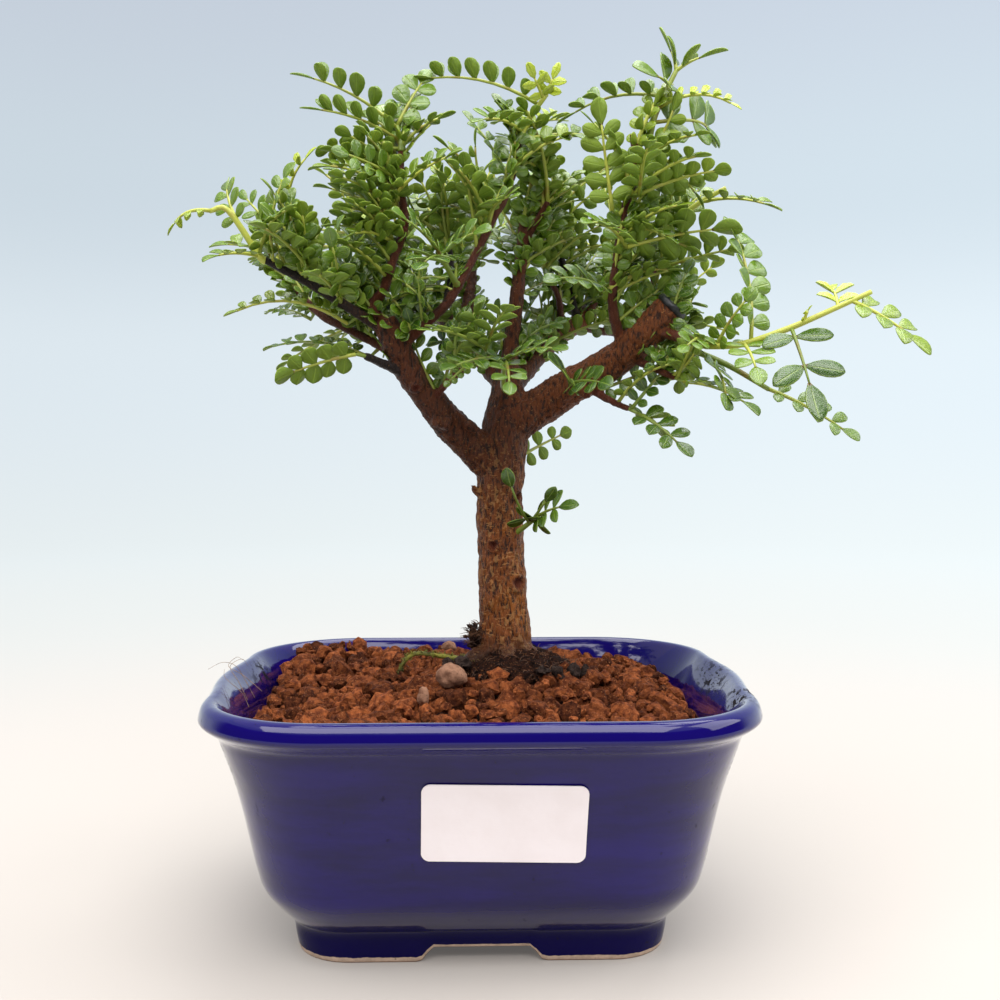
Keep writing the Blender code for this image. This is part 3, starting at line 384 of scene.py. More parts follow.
@dataclass(frozen=True)
class BarkFinish(Finish):
    """Bark that goes from the trunk's golden brown through dark limbs to red and black twigs."""

    name: str = "pepper_bark"
    golden: Colour = (0.300, 0.088, 0.007)
    brown: Colour = (0.230, 0.064, 0.013)
    limb: Colour = (0.108, 0.029, 0.0085)
    crack: Colour = (0.010, 0.0040, 0.003)
    fleck_and_glint: Colour = (0.60, 0.30, 0.10)
    scarred: Colour = (0.105, 0.018, 0.010)
    red: Colour = (0.095, 0.022, 0.009)
    black: Colour = (0.014, 0.009, 0.008)
    soil: Colour = (0.034, 0.014, 0.008)

    def dress(self, tree: Tree) -> None:
        """Adds the bark's colours by girth and height, its flecks and painted glints, painted light on the
        trunk's lower right, and its fissures with painted shade in them.

        Args:
            tree: Adds nodes to the material.
        """
        place = tree.pot_millimetres()
        height = tree.part(place, "Z")
        girth = tree.attribute("girth")
        grain = tree.noise(tree.stretched(place, (1.6, 1.6, 0.45)), 1.0, 6.0, 0.64)
        wide = tree.noise(place, 0.16, 3.0)
        low = tree.mix(tree.ease(wide, 0.44, 0.70), self.brown, self.golden)
        # Painted light: the trunk's lower right side is made more golden, as if lit.
        painted_light_side = tree.times(tree.ease(tree.part(place, "X"), 4.0, 11.0), tree.ease(height, 102.0, 84.0))
        low = tree.mix(tree.times(painted_light_side, 0.3), low, self.golden)
        high = tree.mix(tree.ease(tree.part(place, "X"), 5.0, 24.0, 0.0, 0.6), self.limb, self.brown)
        body = tree.mix(tree.ease(tree.sum("ADD", height, tree.times(wide, 30.0)), 108.0, 136.0),
                        low, high)
        # Dark fissures: partly the bark's own dark colour and partly painted shade in the cracks.
        body = tree.mix(tree.ease(grain, 0.39, 0.53, 0.92, 0.0), body, self.crack)
        plates = tree.effect(Effects.speckles(), Vector=tree.stretched(place, (1.0, 1.0, 0.50)), Scale=0.8,
                             Share=0.36)
        dashes = tree.effect(Effects.speckles(), Vector=tree.stretched(place, (0.6, 0.6, 1.9)), Scale=1.0,
                             Share=0.34)
        dots = tree.effect(Effects.speckles(), Vector=place, Scale=1.9, Share=0.27)
        on_trunk = tree.ease(height, 124.0, 104.0)
        # The pale plates and dashes on the trunk are partly real flecks and partly painted glints.
        marks = tree.times(tree.sum("MAXIMUM", plates, dashes), tree.times(on_trunk, 0.42))
        marks = tree.sum("MAXIMUM", marks, tree.times(dots, 0.36))
        body = tree.mix(marks, body, self.fleck_and_glint)
        body = tree.mix(tree.times(tree.attribute("scar"), 0.9), body, self.scarred)
        twig = tree.mix(tree.attribute("dark"), self.red, self.black)
        twig_dots = tree.effect(Effects.speckles(), Vector=place, Scale=2.4, Share=0.24)
        twig = tree.mix(tree.times(twig_dots, 0.28), twig, self.fleck_and_glint)
        colour = tree.mix(tree.ease(girth, 0.30, 0.62), twig, body)
        foot = tree.sum("ADD", height, tree.times(grain, -9.0))
        colour = tree.mix(tree.ease(foot, 59.0, 66.0, 0.92, 0.0), colour, self.soil)
        rough = tree.ease(girth, 0.2, 0.6, 0.36, 0.42)
        fissures = tree.sum("ADD", grain, tree.times(marks, 0.25))
        relief = tree.bump(fissures, 1.5, 1.0)
        tree.feed(Base_Color=colour, Roughness=rough, Normal=relief, Specular_IOR_Level=0.32)


class Blade(Enum):
    """The two faces of a leaflet."""

    UPPER = "upper"
    UNDER = "under"


@dataclass(frozen=True)
class LeafFinish(Finish):
    """A leaflet's face: green by its tint, with a midrib, veins, a pale rim of painted light and a reddish
    joint.
    """

    name: str = "leaf_upper"
    side: Blade = Blade.UPPER
    # The tint runs from old to young; for the filling leaves it is partly painted shade low and inside the
    # crown and painted light high and outside.
    old: Colour = (0.020, 0.068, 0.005)
    ripe: Colour = (0.102, 0.196, 0.010)
    young: Colour = (0.44, 0.54, 0.040)
    rib: Colour = (0.26, 0.37, 0.05)
    rim: Colour = (0.22, 0.31, 0.04)
    joint: Colour = (0.16, 0.05, 0.022)
    pale: Colour = (0.20, 0.28, 0.045)
    roughness: float = 0.20
    glow: float = 0.30
    glow_reach: Point = (1.0, 0.95, 0.16)

    def dress(self, tree: Tree) -> None:
        """Adds the leaf's colours and its veins.

        Args:
            tree: Adds nodes to the material.
        """
        blade = tree.add("ShaderNodeUVMap", uv_map="blade").outputs[0]
        along = tree.part(blade, "X")
        across = tree.sum("ABSOLUTE", tree.sum("SUBTRACT", tree.part(blade, "Y"), 0.5))
        tint = tree.attribute("tint")
        body = tree.mix(tree.ease(tint, 0.0, 0.5), self.old, self.ripe)
        body = tree.mix(tree.ease(tint, 0.5, 1.0), body, self.young)
        place = tree.pot_millimetres()
        patches = tree.noise(place, 0.5, 3.0)
        body = tree.mix(1.0, body, tree.mix(patches, (0.74, 0.76, 0.7), (1.28, 1.24, 1.1)), "MULTIPLY")
        branch = tree.sum("SUBTRACT", tree.times(along, 9.0), tree.times(across, 9.0))
        vein = tree.sum("ABSOLUTE", tree.sum("SUBTRACT", tree.sum("FRACT", branch), 0.5))
        side_veins = tree.ease(vein, 0.0, 0.12, 1.0, 0.0)
        midrib = tree.ease(across, 0.015, 0.06, 1.0, 0.0)
        veins = tree.sum("MAXIMUM", midrib, tree.times(side_veins, 0.30))
        if self.side is Blade.UNDER:
            body = tree.mix(0.5, body, self.pale)
        body = tree.mix(tree.times(veins, 0.5), body, self.rib)
        # The pale rim is painted light along the leaflet's edge.
        body = tree.mix(tree.ease(across, 0.44, 0.5, 0.0, 0.5), body, self.rim)
        body = tree.mix(tree.ease(along, 0.02, 0.10, 0.8, 0.0), body, self.joint)
        height = tree.sum("ADD", tree.times(veins, -0.6), tree.noise(place, 1.4, 2.0))
        relief = tree.bump(height, 0.18, 0.9)
        tree.feed(Base_Color=body, Roughness=self.roughness, Normal=relief,
                  Specular_IOR_Level=0.75 if self.side is Blade.UPPER else 0.25, Subsurface_Weight=self.glow,
                  Subsurface_Radius=self.glow_reach, Subsurface_Scale=0.5 * MM)


@dataclass(frozen=True)
class StemFinish(Finish):
    """Green leaf stems and ribs, yellower where they are young."""

    name: str = "green_stem"
    old: Colour = (0.13, 0.20, 0.024)
    young: Colour = (0.42, 0.45, 0.06)
    red: Colour = (0.22, 0.07, 0.02)

    def dress(self, tree: Tree) -> None:
        """Adds the stem's green, a little red in patches and a fine grain.

        Args:
            tree: Adds nodes to the material.
        """
        place = tree.pot_millimetres()
        body = tree.mix(tree.ease(tree.attribute("tint"), 0.2, 0.9), self.old, self.young)
        blush = tree.noise(place, 0.22, 2.0)
        body = tree.mix(tree.ease(blush, 0.56, 0.72, 0.0, 0.5), body, self.red)
        grain = tree.noise(tree.stretched(place, (3.0, 3.0, 3.0)), 1.0, 3.0)
        tree.feed(Base_Color=body, Roughness=0.42, Normal=tree.bump(grain, 0.06))


@dataclass(frozen=True)
class PasteFinish(Finish):
    """Black wound paste, satin and slightly wrinkled."""

    name: str = "black_paste"
    black: Colour = (0.010, 0.011, 0.014)
    dust: Colour = (0.06, 0.06, 0.065)

    def dress(self, tree: Tree) -> None:
        """Adds the paste's black, a little dust and its brushed wrinkles.

        Args:
            tree: Adds nodes to the material.
        """
        place = tree.pot_millimetres()
        wrinkles = tree.noise(tree.stretched(place, (0.8, 0.8, 1.6)), 1.0, 4.0)
        body = tree.mix(tree.ease(wrinkles, 0.55, 0.7, 0.0, 0.5), self.black, self.dust)
        tree.feed(Base_Color=body, Roughness=tree.ease(wrinkles, 0.4, 0.7, 0.32, 0.55),
                  Normal=tree.bump(wrinkles, 0.35))


@dataclass(frozen=True)
class LabelFinish(Finish):
    """White coated paper, blank, with faint fibres and a worn edge."""

    name: str = "label_paper"
    white: Colour = (0.93, 0.865, 0.885)
    shade: Colour = (0.86, 0.785, 0.79)

    def dress(self, tree: Tree) -> None:
        """Adds the paper's white, its fibres and a soft unevenness from the glue.

        Args:
            tree: Adds nodes to the material.
        """
        place = tree.pot_millimetres()
        fibres = tree.noise(tree.stretched(place, (1.2, 1.2, 3.6)), 1.0, 4.0)
        cloud = tree.noise(place, 0.10, 3.0)
        body = tree.mix(tree.ease(cloud, 0.35, 0.75, 0.0, 0.5), self.white, self.shade)
        body = tree.mix(tree.ease(fibres, 0.6, 0.75, 0.0, 0.3), body, self.shade)
        relief = tree.bump(fibres, 0.02, 1.0, tree.bump(cloud, 0.25))
        tree.feed(Base_Color=body, Roughness=0.48, Normal=relief)


@dataclass(frozen=True)
class PlasticFinish(Finish):
    """Black moulded drain mesh, dusty with clay."""

    name: str = "black_mesh"
    black: Colour = (0.022, 0.022, 0.024)
    dust: Colour = (0.16, 0.07, 0.035)

    def dress(self, tree: Tree) -> None:
        """Adds the plastic's black and the clay dust on it.

        Args:
            tree: Adds nodes to the material.
        """
        place = tree.pot_millimetres()
        dust = tree.noise(place, 0.7, 5.0, 0.7)
        body = tree.mix(tree.ease(dust, 0.48, 0.66, 0.0, 0.8), self.black, self.dust)
        tree.feed(Base_Color=body, Roughness=0.55, Normal=tree.bump(dust, 0.08))


@dataclass(frozen=True)
class FibreFinish(Finish):
    """Dry roots and plant hairs, or with other colours moss."""

    name: str = "dry_fibre"
    dark: Colour = (0.075, 0.040, 0.018)
    light: Colour = (0.30, 0.19, 0.09)

    def dress(self, tree: Tree) -> None:
        """Adds a colour that changes along the fibre, and a fine grain.

        Args:
            tree: Adds nodes to the material.
        """
        place = tree.pot_millimetres()
        body = self.mottled(tree, place, 0.45, self.dark, self.light)
        grain = tree.noise(place, 3.0, 3.0)
        tree.feed(Base_Color=body, Roughness=0.8, Normal=tree.bump(grain, 0.10))


@dataclass(frozen=True)
class StudioFinish(Finish):
    """The seamless floor and wall: cream round the object, whiter further out and pale blue high up.

    Far from the object it glows, so that no seam shows. For what it lights and for the pot's glaze, the wall
    beside and behind the viewer is dark up to head height. Looked at directly it is as pale as the rest.
    """

    name: str = "studio_floor"
    near: Colour = (0.44, 0.405, 0.370)
    dim: Colour = (0.10, 0.10, 0.10)
    dark: Colour = (0.02, 0.02, 0.025)
    glow: tuple = ((0.10, (0.65, 0.63, 0.60)), (0.50, (0.66, 0.69, 0.67)), (1.10, (0.67, 0.73, 0.735)),
                   (1.90, (0.62, 0.705, 0.755)), (2.35, (0.51, 0.60, 0.665)), (2.75, (0.47, 0.535, 0.62)))

    def dress(self, tree: Tree) -> None:
        """Adds the slow change of colour from the floor's middle up the wall.

        Args:
            tree: Adds nodes to the material.
        """
        place = tree.add("ShaderNodeTexCoord").outputs["Object"]
        flat = tree.stretched(place, (1, 1, 0), tuple(-SHIFT.xy) + (0,))
        away = tree.add("ShaderNodeVectorMath", {0: flat}, operation="LENGTH").outputs["Value"]
        height = tree.part(place, "Z")
        reach = tree.sum("ADD", away, height)
        share = tree.ease(reach, 0.0, 0.65, 0.14, 1.0)
        glow = self.glow[0][1]
        for (start, _), (end, colour) in zip(self.glow, self.glow[1:]):
            glow = tree.mix(tree.ease(reach, start, end), glow, colour)
        side = tree.mix(tree.ease(tree.part(place, "X"), -0.9, 0.9), (0.93, 0.93, 0.94), (1.07, 1.08, 1.09))
        glow = tree.mix(1.0, glow, side, "MULTIPLY")
        behind = tree.ease(tree.sum("DIVIDE", tree.part(place, "Y"), away), 0.10, 0.45, 1.0, 0.0)
        wall = tree.times(tree.ease(height, 0.03, 0.12), tree.ease(height, 0.95, 1.2, 1.0, 0.0))
        looked_at = tree.add("ShaderNodeLightPath").outputs["Is Camera Ray"]
        unlit = tree.times(tree.times(behind, wall), tree.sum("SUBTRACT", 1.0, looked_at))
        glow = tree.mix(share, (0, 0, 0), tree.mix(unlit, glow, self.dark))
        body = tree.mix(unlit, tree.mix(share, self.near, self.dim), self.dark)
        tree.feed(Base_Color=body, Roughness=0.9, Specular_IOR_Level=0.1, Emission_Color=glow,
                  Emission_Strength=1.0)


GLAZE = GlazeFinish()
SCREEN = PlasticFinish()
CLAY = CrumbFinish()
# The bed's dark colour is painted shade: it shows in the gaps between the granules and through the drain
# holes.
SHADE_BED = CrumbFinish("clay_bed_painted_shade", dark=(0.018, 0.0055, 0.0035), light=(0.050, 0.015, 0.007), flecks=0.1)
PEAT = CrumbFinish("black_peat", dark=(0.006, 0.0018, 0.001), light=(0.034, 0.0105, 0.005),
                   pale=(0.19, 0.078, 0.030), flecks=0.33, scale=1.6, depth=0.8)
ASHEN = CrumbFinish("ashen_peat", dark=(0.013, 0.008, 0.007), light=(0.045, 0.030, 0.026),
                    pale=(0.10, 0.07, 0.05), flecks=0.28, scale=1.3, depth=0.7)
STONE = CrumbFinish("tan_stone", dark=(0.17, 0.085, 0.055), light=(0.30, 0.165, 0.110),
                    pale=(0.05, 0.03, 0.02), flecks=0.30, scale=0.6, depth=0.22, roughness=0.8)
BARK = BarkFinish()
PASTE = PasteFinish()
PAPER = LabelFinish()
UPPER = LeafFinish()
UNDER = LeafFinish("leaf_under", Blade.UNDER, roughness=0.5, glow=0.40)
STEM = StemFinish()
FIBRE = FibreFinish()
MOSS = FibreFinish("green_moss", dark=(0.055, 0.055, 0.007), light=(0.21, 0.20, 0.022))
ROOT = FibreFinish("dark_root", dark=(0.022, 0.0085, 0.0040), light=(0.150, 0.062, 0.024))


# Making and finishing meshes


def new_mesh(name: str, bm: Shape) -> bpy.types.Mesh:
    """Turns a bmesh into a mesh, and frees it."""
    mesh = bpy.data.meshes.new(name)
    bm.to_mesh(mesh)
    bm.free()
    return mesh


def new_object(name: str, data: bpy.types.ID) -> bpy.types.Object:
    """Makes an object and puts it in the scene."""
    made = bpy.data.objects.new(name, data)
    bpy.context.scene.collection.objects.link(made)
    return made


def finish_piece(name: str, bm: Shape, finishes: Sequence[Finish],
                 replaced: Iterable[str] = (), sharp: float = 180.0) -> None:
    """Turns a bmesh in the pot's millimetres into a piece, at the origin and riding on the root body.

    Args:
        name: The piece's name.
        bm: Its shape, which is freed.
        finishes: Its finishes, in the order of its faces' material numbers.
        replaced: The solids that it stands for.
        sharp: Edges that turn by more than this many degrees stay sharp.
    """
    bmesh.ops.scale(bm, vec=(MM,) * 3, verts=bm.verts)
    bmesh.ops.translate(bm, vec=SHIFT, verts=bm.verts)
    mesh = new_mesh(name, bm)
    mesh.shade_smooth()
    if sharp < 180.0:
        mesh.set_sharp_from_angle(angle=math.radians(sharp))
    for finish in finishes:
        mesh.materials.append(finish.material())
    piece = new_object(name, mesh)
    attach(piece, "root")
    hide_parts(*replaced)
    LOG.info("%s: %d faces", name, len(mesh.polygons))


def baked(bm: Shape, *modifiers: tuple[str, dict]) -> Shape:
    """Applies modifiers to a bmesh.

    Args:
        bm: The shape, which is freed.
        *modifiers: Each modifier's type and settings.

    Returns:
        The new shape.
    """
    mesh = new_mesh("work", bm)
    work = new_object("work", mesh)
    for kind, settings in modifiers:
        modifier = work.modifiers.new(kind.lower(), kind)
        for name, value in settings.items():
            setattr(modifier, name, value)
    graph = bpy.context.evaluated_depsgraph_get()
    result = bmesh.new()
    result.from_mesh(work.evaluated_get(graph).to_mesh())
    bpy.data.objects.remove(work)
    bpy.data.meshes.remove(mesh)
    return result


def extrude_rings(bm: Shape, rings: Sequence[Sequence[Vector]], caps: bool = True) -> None:
    """Adds a loop of points and extrudes it through further loops of as many points.

    Args:
        bm: The shape that it is added to.
        rings: The loops, in order.
        caps: Whether both ends are closed.
    """
    station = bm.verts.layers.int.get("station") or bm.verts.layers.int.new("station")
    loop = bmesh.ops.create_circle(bm, cap_ends=caps, segments=len(rings[0]), radius=1.0)["verts"]
    for number, vertex in enumerate(loop):
        vertex[station] = number
        vertex.co = rings[0][number]
    edges = list({edge for vertex in loop for edge in vertex.link_edges})
    for ring in rings[1:]:
        made = bmesh.ops.extrude_edge_only(bm, edges=edges)["geom"]
        for vertex in (v for v in made if isinstance(v, bmesh.types.BMVert)):
            vertex.co = ring[vertex[station]]
        edges = [e for e in made if isinstance(e, bmesh.types.BMEdge)]
    if caps:
        bmesh.ops.holes_fill(bm, edges=edges)


def tube_rings(path: Sequence[Vector], radii: Sequence[float], sides: int,
               flat: float = 1.0) -> list[list[Vector]]:
    """Loops of points square to a path, without twist.

    Args:
        path: The middle of each loop.
        radii: The radius of each loop.
        sides: Points in a loop.
        flat: The height of a loop over its width.

    Returns:
        The loops.
    """
    rings = []
    across = None
    for k, (point, radius) in enumerate(zip(path, radii)):
        ahead = (path[min(k + 1, len(path) - 1)] - path[max(k - 1, 0)]).normalized()
        across = (ahead.orthogonal() if across is None else across - ahead * across.dot(ahead)).normalized()
        up = ahead.cross(across) * flat
        turns = (2 * math.pi * s / sides for s in range(sides))
        rings.append([point + radius * (math.cos(a) * across + math.sin(a) * up) for a in turns])
    return rings


def smooth_line(knots: Sequence[Sequence[float]], steps: int) -> list[Vector]:
    """A smooth line of any dimension through knots.

    Args:
        knots: Points, with their radius as a further number where they have one.
        steps: Points from one knot to the next.

    Returns:
        The line's points.
    """
    points = [Vector(k) for k in knots]
    ends = [points[0] * 2 - points[1]] + points + [points[-1] * 2 - points[-2]]
    line = []
    for before, start, end, after in zip(ends, ends[1:], ends[2:], ends[3:]):
        for step in range(steps):
            t = step / steps
            line.append(0.5 * ((2 * start) + (end - before) * t
                               + (2 * before - 5 * start + 4 * end - after) * t ** 2
                               + (3 * start - before - 3 * end + after) * t ** 3))
    return line + [points[-1]]


def grow_tube(bm: Shape, knots: Sequence[Knot], sides: int, steps: int = 4) -> None:
    """Adds a closed tube through knots of a point and a radius.

    Args:
        bm: The shape that it is added to.
        knots: The knots.
        sides: Sides of the tube.
        steps: Loops from one knot to the next.
    """
    line = smooth_line(knots, steps)
    extrude_rings(bm, tube_rings([p.xyz for p in line], [p.w for p in line], sides))


def add_copy(bm: Shape, template: bpy.types.Mesh, place: Matrix, tint: float) -> None:
    """Adds a placed copy of a mesh, with its tint.

    Args:
        bm: The shape that it is added to.
        template: The mesh.
        place: Its placing.
        tint: The value of the copy's tint attribute.
    """
    work = template.copy()
    work.transform(place)
    work.attributes["tint"].data.foreach_set("value", [tint] * len(work.vertices))
    bm.from_mesh(work)
    bpy.data.meshes.remove(work)


def template_mesh(name: str, bm: Shape) -> bpy.types.Mesh:
    """Turns a bmesh into a mesh that add_copy can place."""
    bm.verts.layers.float.new("tint")
    return new_mesh(name, bm)


def lump_templates(name: str, count: int, rough: float, draw: random.Random, faces: int = 2) -> list:
    """Meshes of irregular lumps of about unit radius.

    Args:
        name: The meshes' name.
        count: How many.
        rough: How far their surface strays, as a share of the radius.
        draw: The seeded random numbers.
        faces: Subdivisions of the icosphere that they start from.

    Returns:
        The meshes.
    """
    made = []
    for _ in range(count):
        bm = bmesh.new()
        bmesh.ops.create_icosphere(bm, subdivisions=faces, radius=1.0)
        shift = Vector([draw.uniform(-50, 50) for _ in range(3)])
        for vertex in bm.verts:
            swell = noise.noise(vertex.co * 1.1 + shift) + 0.55 * noise.noise(vertex.co * 2.6 - shift)
            vertex.co *= 1.0 + rough * swell
        made.append(template_mesh(name, bm))
    return made


def turned(draw: random.Random) -> Matrix:
    """A random turn."""
    axis = Vector([draw.gauss(0, 1) for _ in range(3)]).normalized()
    return Matrix.Rotation(draw.uniform(0, 2 * math.pi), 4, axis)


# The pot and what is on it


@dataclass
class Pot:
    """The glazed pot: a rounded rectangle drawn along a profile, with notches in its foot."""

    outside: tuple = (
        (43.2, 1.0), (43.7, 3.5), (44.3, 7.0), (45.9, 9.0), (48.7, 12.0), (51.6, 16.0), (53.2, 21.0),
        (54.8, 28.0), (56.4, 35.0), (58.0, 41.0), (59.7, 46.0), (61.1, 50.0), (62.2, 52.7), (64.3, 54.3),
        (66.0, 55.8), (66.0, 57.2), (65.2, 59.2), (63.6, 60.0))
    inside: tuple = ((61.6, 59.0), (57.6, 53.0), (54.2, 44.0), (51.8, 30.0), (49.3, 20.0), (45.5, 12.0),
                     (41.0, 9.0))
    depth_fall: float = 1.09  # half depth lost for each millimetre of half width
    foot_half_width: float = 43.0
    foot_corner: float = 13.0
    rim_corner: float = 30.0
    side_bow: float = 2.2  # how far the left and right sides bow out at the rim
    foot_bevel: float = 0.5
    recess: Knot = (37.0, 26.0, 8.0, 4.5)  # half width, half depth, corner, height
    notch_height: float = 3.4
    notch_half: tuple[float, float] = (10.85, 7.0)  # along the front and along the side
    notch_flare: float = 3.5
    notch_fade: float = 8.5  # height where the foot's points no longer follow the notch
    drain_radius: float = 4.5
    drain_x: float = 18.0
    corner_steps: int = 14
    long_steps: int = 44
    short_steps: int = 30

    def outline(self, half_width: float, half_depth: float, corner: float, bow: float = 0.0) -> list[Vector]:
        """A rounded rectangle, with the same number of points whatever its size.

        Args:
            half_width: Half its width.
            half_depth: Half its depth.
            corner: The radius of its corners.
            bow: How far its left and right sides bow out, which its half width includes.

        Returns:
            Its points, anticlockwise from the +X side.
        """
        points = []
        straight_x, straight_y = half_width - bow - corner, half_depth - corner
        for quarter in range(4):
            side_x = 1 if quarter in (0, 3) else -1
            side_y = 1 if quarter in (0, 1) else -1
            centre = Vector((side_x * straight_x, side_y * straight_y))
            for step in range(self.corner_steps + 1):
                angle = math.pi / 2 * (quarter + step / self.corner_steps)
                points.append(centre + corner * Vector((math.cos(angle), math.sin(angle))))
            steps = self.long_steps if quarter in (0, 2) else self.short_steps
            for step in range(1, steps):
                share = 2 * step / steps - 1
                if quarter in (0, 2):
                    points.append(Vector((-side_x * share * straight_x, side_y * half_depth)))
                else:
                    out = half_width - bow + bow * math.cos(math.pi / 2 * share) ** 2
                    points.append(Vector((side_x * out, -side_y * share * straight_y)))
        return points

    def half_depth(self, half_width: float) -> float:
        """Half the depth where the pot is that wide."""
        return RIM_HALF_DEPTH - self.depth_fall * (RIM_HALF_WIDTH - half_width)

    def width_share(self, half_width: float) -> float:
        """0 where the pot is as wide as its foot, and 1 where it is as wide as its rim."""
        return max(0.0, (half_width - self.foot_half_width) / (RIM_HALF_WIDTH - self.foot_half_width))

    def corner(self, half_width: float) -> float:
        """The corner's radius where the pot is that wide."""
        return self.foot_corner + (self.rim_corner - self.foot_corner) * self.width_share(half_width)

    def bow(self, half_width: float) -> float:
        """How far the left and right sides bow out where the pot is that wide."""
        return self.side_bow * self.width_share(half_width)

    def lift(self, x: float, y: float) -> float:
        """How far a notch lifts the foot's bottom at a place."""
        def share(along: float, half: float) -> float:
            """1 under the notch's middle and 0 beside it, with a soft flare between."""
            t = min(1.0, max(0.0, (half + self.notch_flare - abs(along)) / self.notch_flare))
            return t * t * (3 - 2 * t)
        on_front = abs(y) > self.recess[1] - 0.5 and abs(x) < self.recess[0] - self.recess[2] * 0.5
        on_side = abs(x) > self.recess[0] - 0.5 and abs(y) < self.recess[1] - self.recess[2] * 0.5
        lifts = [share(x, self.notch_half[0])] * on_front + [share(y, self.notch_half[1])] * on_side
        return self.notch_height * max(lifts, default=0.0)

    def ring(self, outline: Sequence[Vector], height: float) -> list[Vector]:
        """The outline at a height, with the notches pushed up into it near the foot."""
        points = []
        for p in outline:
            lift = self.lift(p.x, p.y) * max(0.0, 1 - height / self.notch_fade)
            points.append(Vector((p.x, p.y, height + lift)))
        return points

    def levels(self) -> list[list[Vector]]:
        """All rings of the pot, from the recess under it out, up over the rim and down inside."""
        width, depth, corner, height = self.recess
        rings = [self.ring(self.outline(width, depth, corner), z) for z in (height, 2.4, self.foot_bevel)]
        for step in range(1, 4):
            turn = math.pi / 2 * step / 3
            grow = self.foot_bevel * (1 - math.cos(turn))
            rings.append(self.ring(self.outline(width + grow, depth + grow, corner + grow),
                                   self.foot_bevel * (1 - math.sin(turn))))
        foot = self.foot_half_width
        for step in range(4):
            turn = math.pi / 2 * step / 4
            draw_in = self.foot_bevel * (1 - math.sin(turn))
            rings.append(self.ring(self.outline(foot - draw_in, self.half_depth(foot) - draw_in,
                                                self.foot_corner - draw_in),
                                   self.foot_bevel * (1 - math.cos(turn))))
        for half_width, z in smooth_line(self.outside + self.inside, 4):
            rings.append(self.ring(self.outline(half_width, self.half_depth(half_width),
                                                self.corner(half_width), self.bow(half_width)), z))
        return rings

    def outer_depth(self, height: float) -> float:
        """Half the depth of the pot's outside at a height."""
        line = smooth_line(self.outside, 6)
        for low, high in zip(line, line[1:]):
            if low.y <= height <= high.y:
                share = (height - low.y) / (high.y - low.y)
                return self.half_depth(low.x + (high.x - low.x) * share)
        return RIM_HALF_DEPTH

    def inner_half_width(self, height: float) -> float:
        """Half the width of the pot's inside at a height."""
        for (wide, high), (narrow, low) in zip(self.inside, self.inside[1:]):
            if low <= height <= high:
                return narrow + (wide - narrow) * (height - low) / (high - low)
        return self.inside[0][0]

    def holds(self, x: float, y: float, z: float, clear: float) -> bool:
        """Whether a place is inside the pot with that much room to its wall.

        Args:
            x: The place's x.
            y: Its y.
            z: Its height.
            clear: The room.

        Returns:
            Whether it is.
        """
        wall = self.inner_half_width(z)
        corner, bow = self.corner(wall), self.bow(wall)
        out_x = abs(x) - (wall - bow - corner)
        out_y = abs(y) - (self.half_depth(wall) - corner)
        if out_y > 0:
            return math.hypot(max(0.0, out_x), out_y) < corner - clear
        share = abs(y) / (self.half_depth(wall) - corner)
        return out_x < corner + bow * math.cos(math.pi / 2 * share) ** 2 - clear

    def mark_rise(self, bm: Shape) -> None:
        """Gives each point its height above the foot's edge, which is 0 on the unglazed underside."""
        rise = bm.verts.layers.float.new("rise")
        for v in bm.verts:
            lift = self.lift(v.co.x, v.co.y)
            above = (v.co.z - lift) / (1 - lift / self.notch_fade) if v.co.z < self.notch_fade else v.co.z
            under = abs(v.co.x) < self.recess[0] + 0.1 and abs(v.co.y) < self.recess[1] + 0.1 and v.co.z < 5.0
            v[rise] = 0.0 if under else above

    def build(self) -> None:
        """Makes the pot with its drain holes."""
        bm = bmesh.new()
        extrude_rings(bm, self.levels())
        bmesh.ops.recalc_face_normals(bm, faces=bm.faces)
        cutters = []
        for x in (-self.drain_x, self.drain_x):
            hole = bmesh.new()
            bmesh.ops.create_cone(hole, cap_ends=True, segments=40, radius1=self.drain_radius,
                                  radius2=self.drain_radius, depth=12.0)
            bmesh.ops.translate(hole, vec=(x, 0, 7.0), verts=hole.verts)
            cutters.append(new_object("drain_cutter", new_mesh("drain_cutter", hole)))
        cuts = [{"operation": "DIFFERENCE", "object": c, "solver": "EXACT"} for c in cutters]
        bm = baked(bm, *[("BOOLEAN", cut) for cut in cuts])
        for cutter in cutters:
            bpy.data.objects.remove(cutter)
        self.mark_rise(bm)
        finish_piece("glazed_pot", bm, [GLAZE], ["pot"], sharp=50.0)


@dataclass
class DrainScreens:
    """Squares of plastic mesh that lie over the drain holes."""

    size: float = 13.0
    level: float = 9.3
    strand: float = 0.75
    cells: int = 6

    def build(self, pot: Pot) -> None:
        """Makes both screens.

        Args:
            pot: The pot whose drain holes they cover.
        """
        for side, x in (("left", -pot.drain_x), ("right", pot.drain_x)):
            bm = bmesh.new()
            bmesh.ops.create_grid(bm, x_segments=self.cells, y_segments=self.cells, size=self.size / 2)
            bmesh.ops.translate(bm, vec=(x, 0, self.level + self.strand / 2), verts=bm.verts)
            bm = baked(bm, ("WIREFRAME", {"thickness": self.strand, "use_even_offset": False}),
                       ("BEVEL", {"width": 0.12, "segments": 1}))
            bmesh.ops.recalc_face_normals(bm, faces=bm.faces)
            finish_piece(f"drain_mesh_{side}", bm, [SCREEN], [f"drain_screen_{side}"], sharp=60.0)


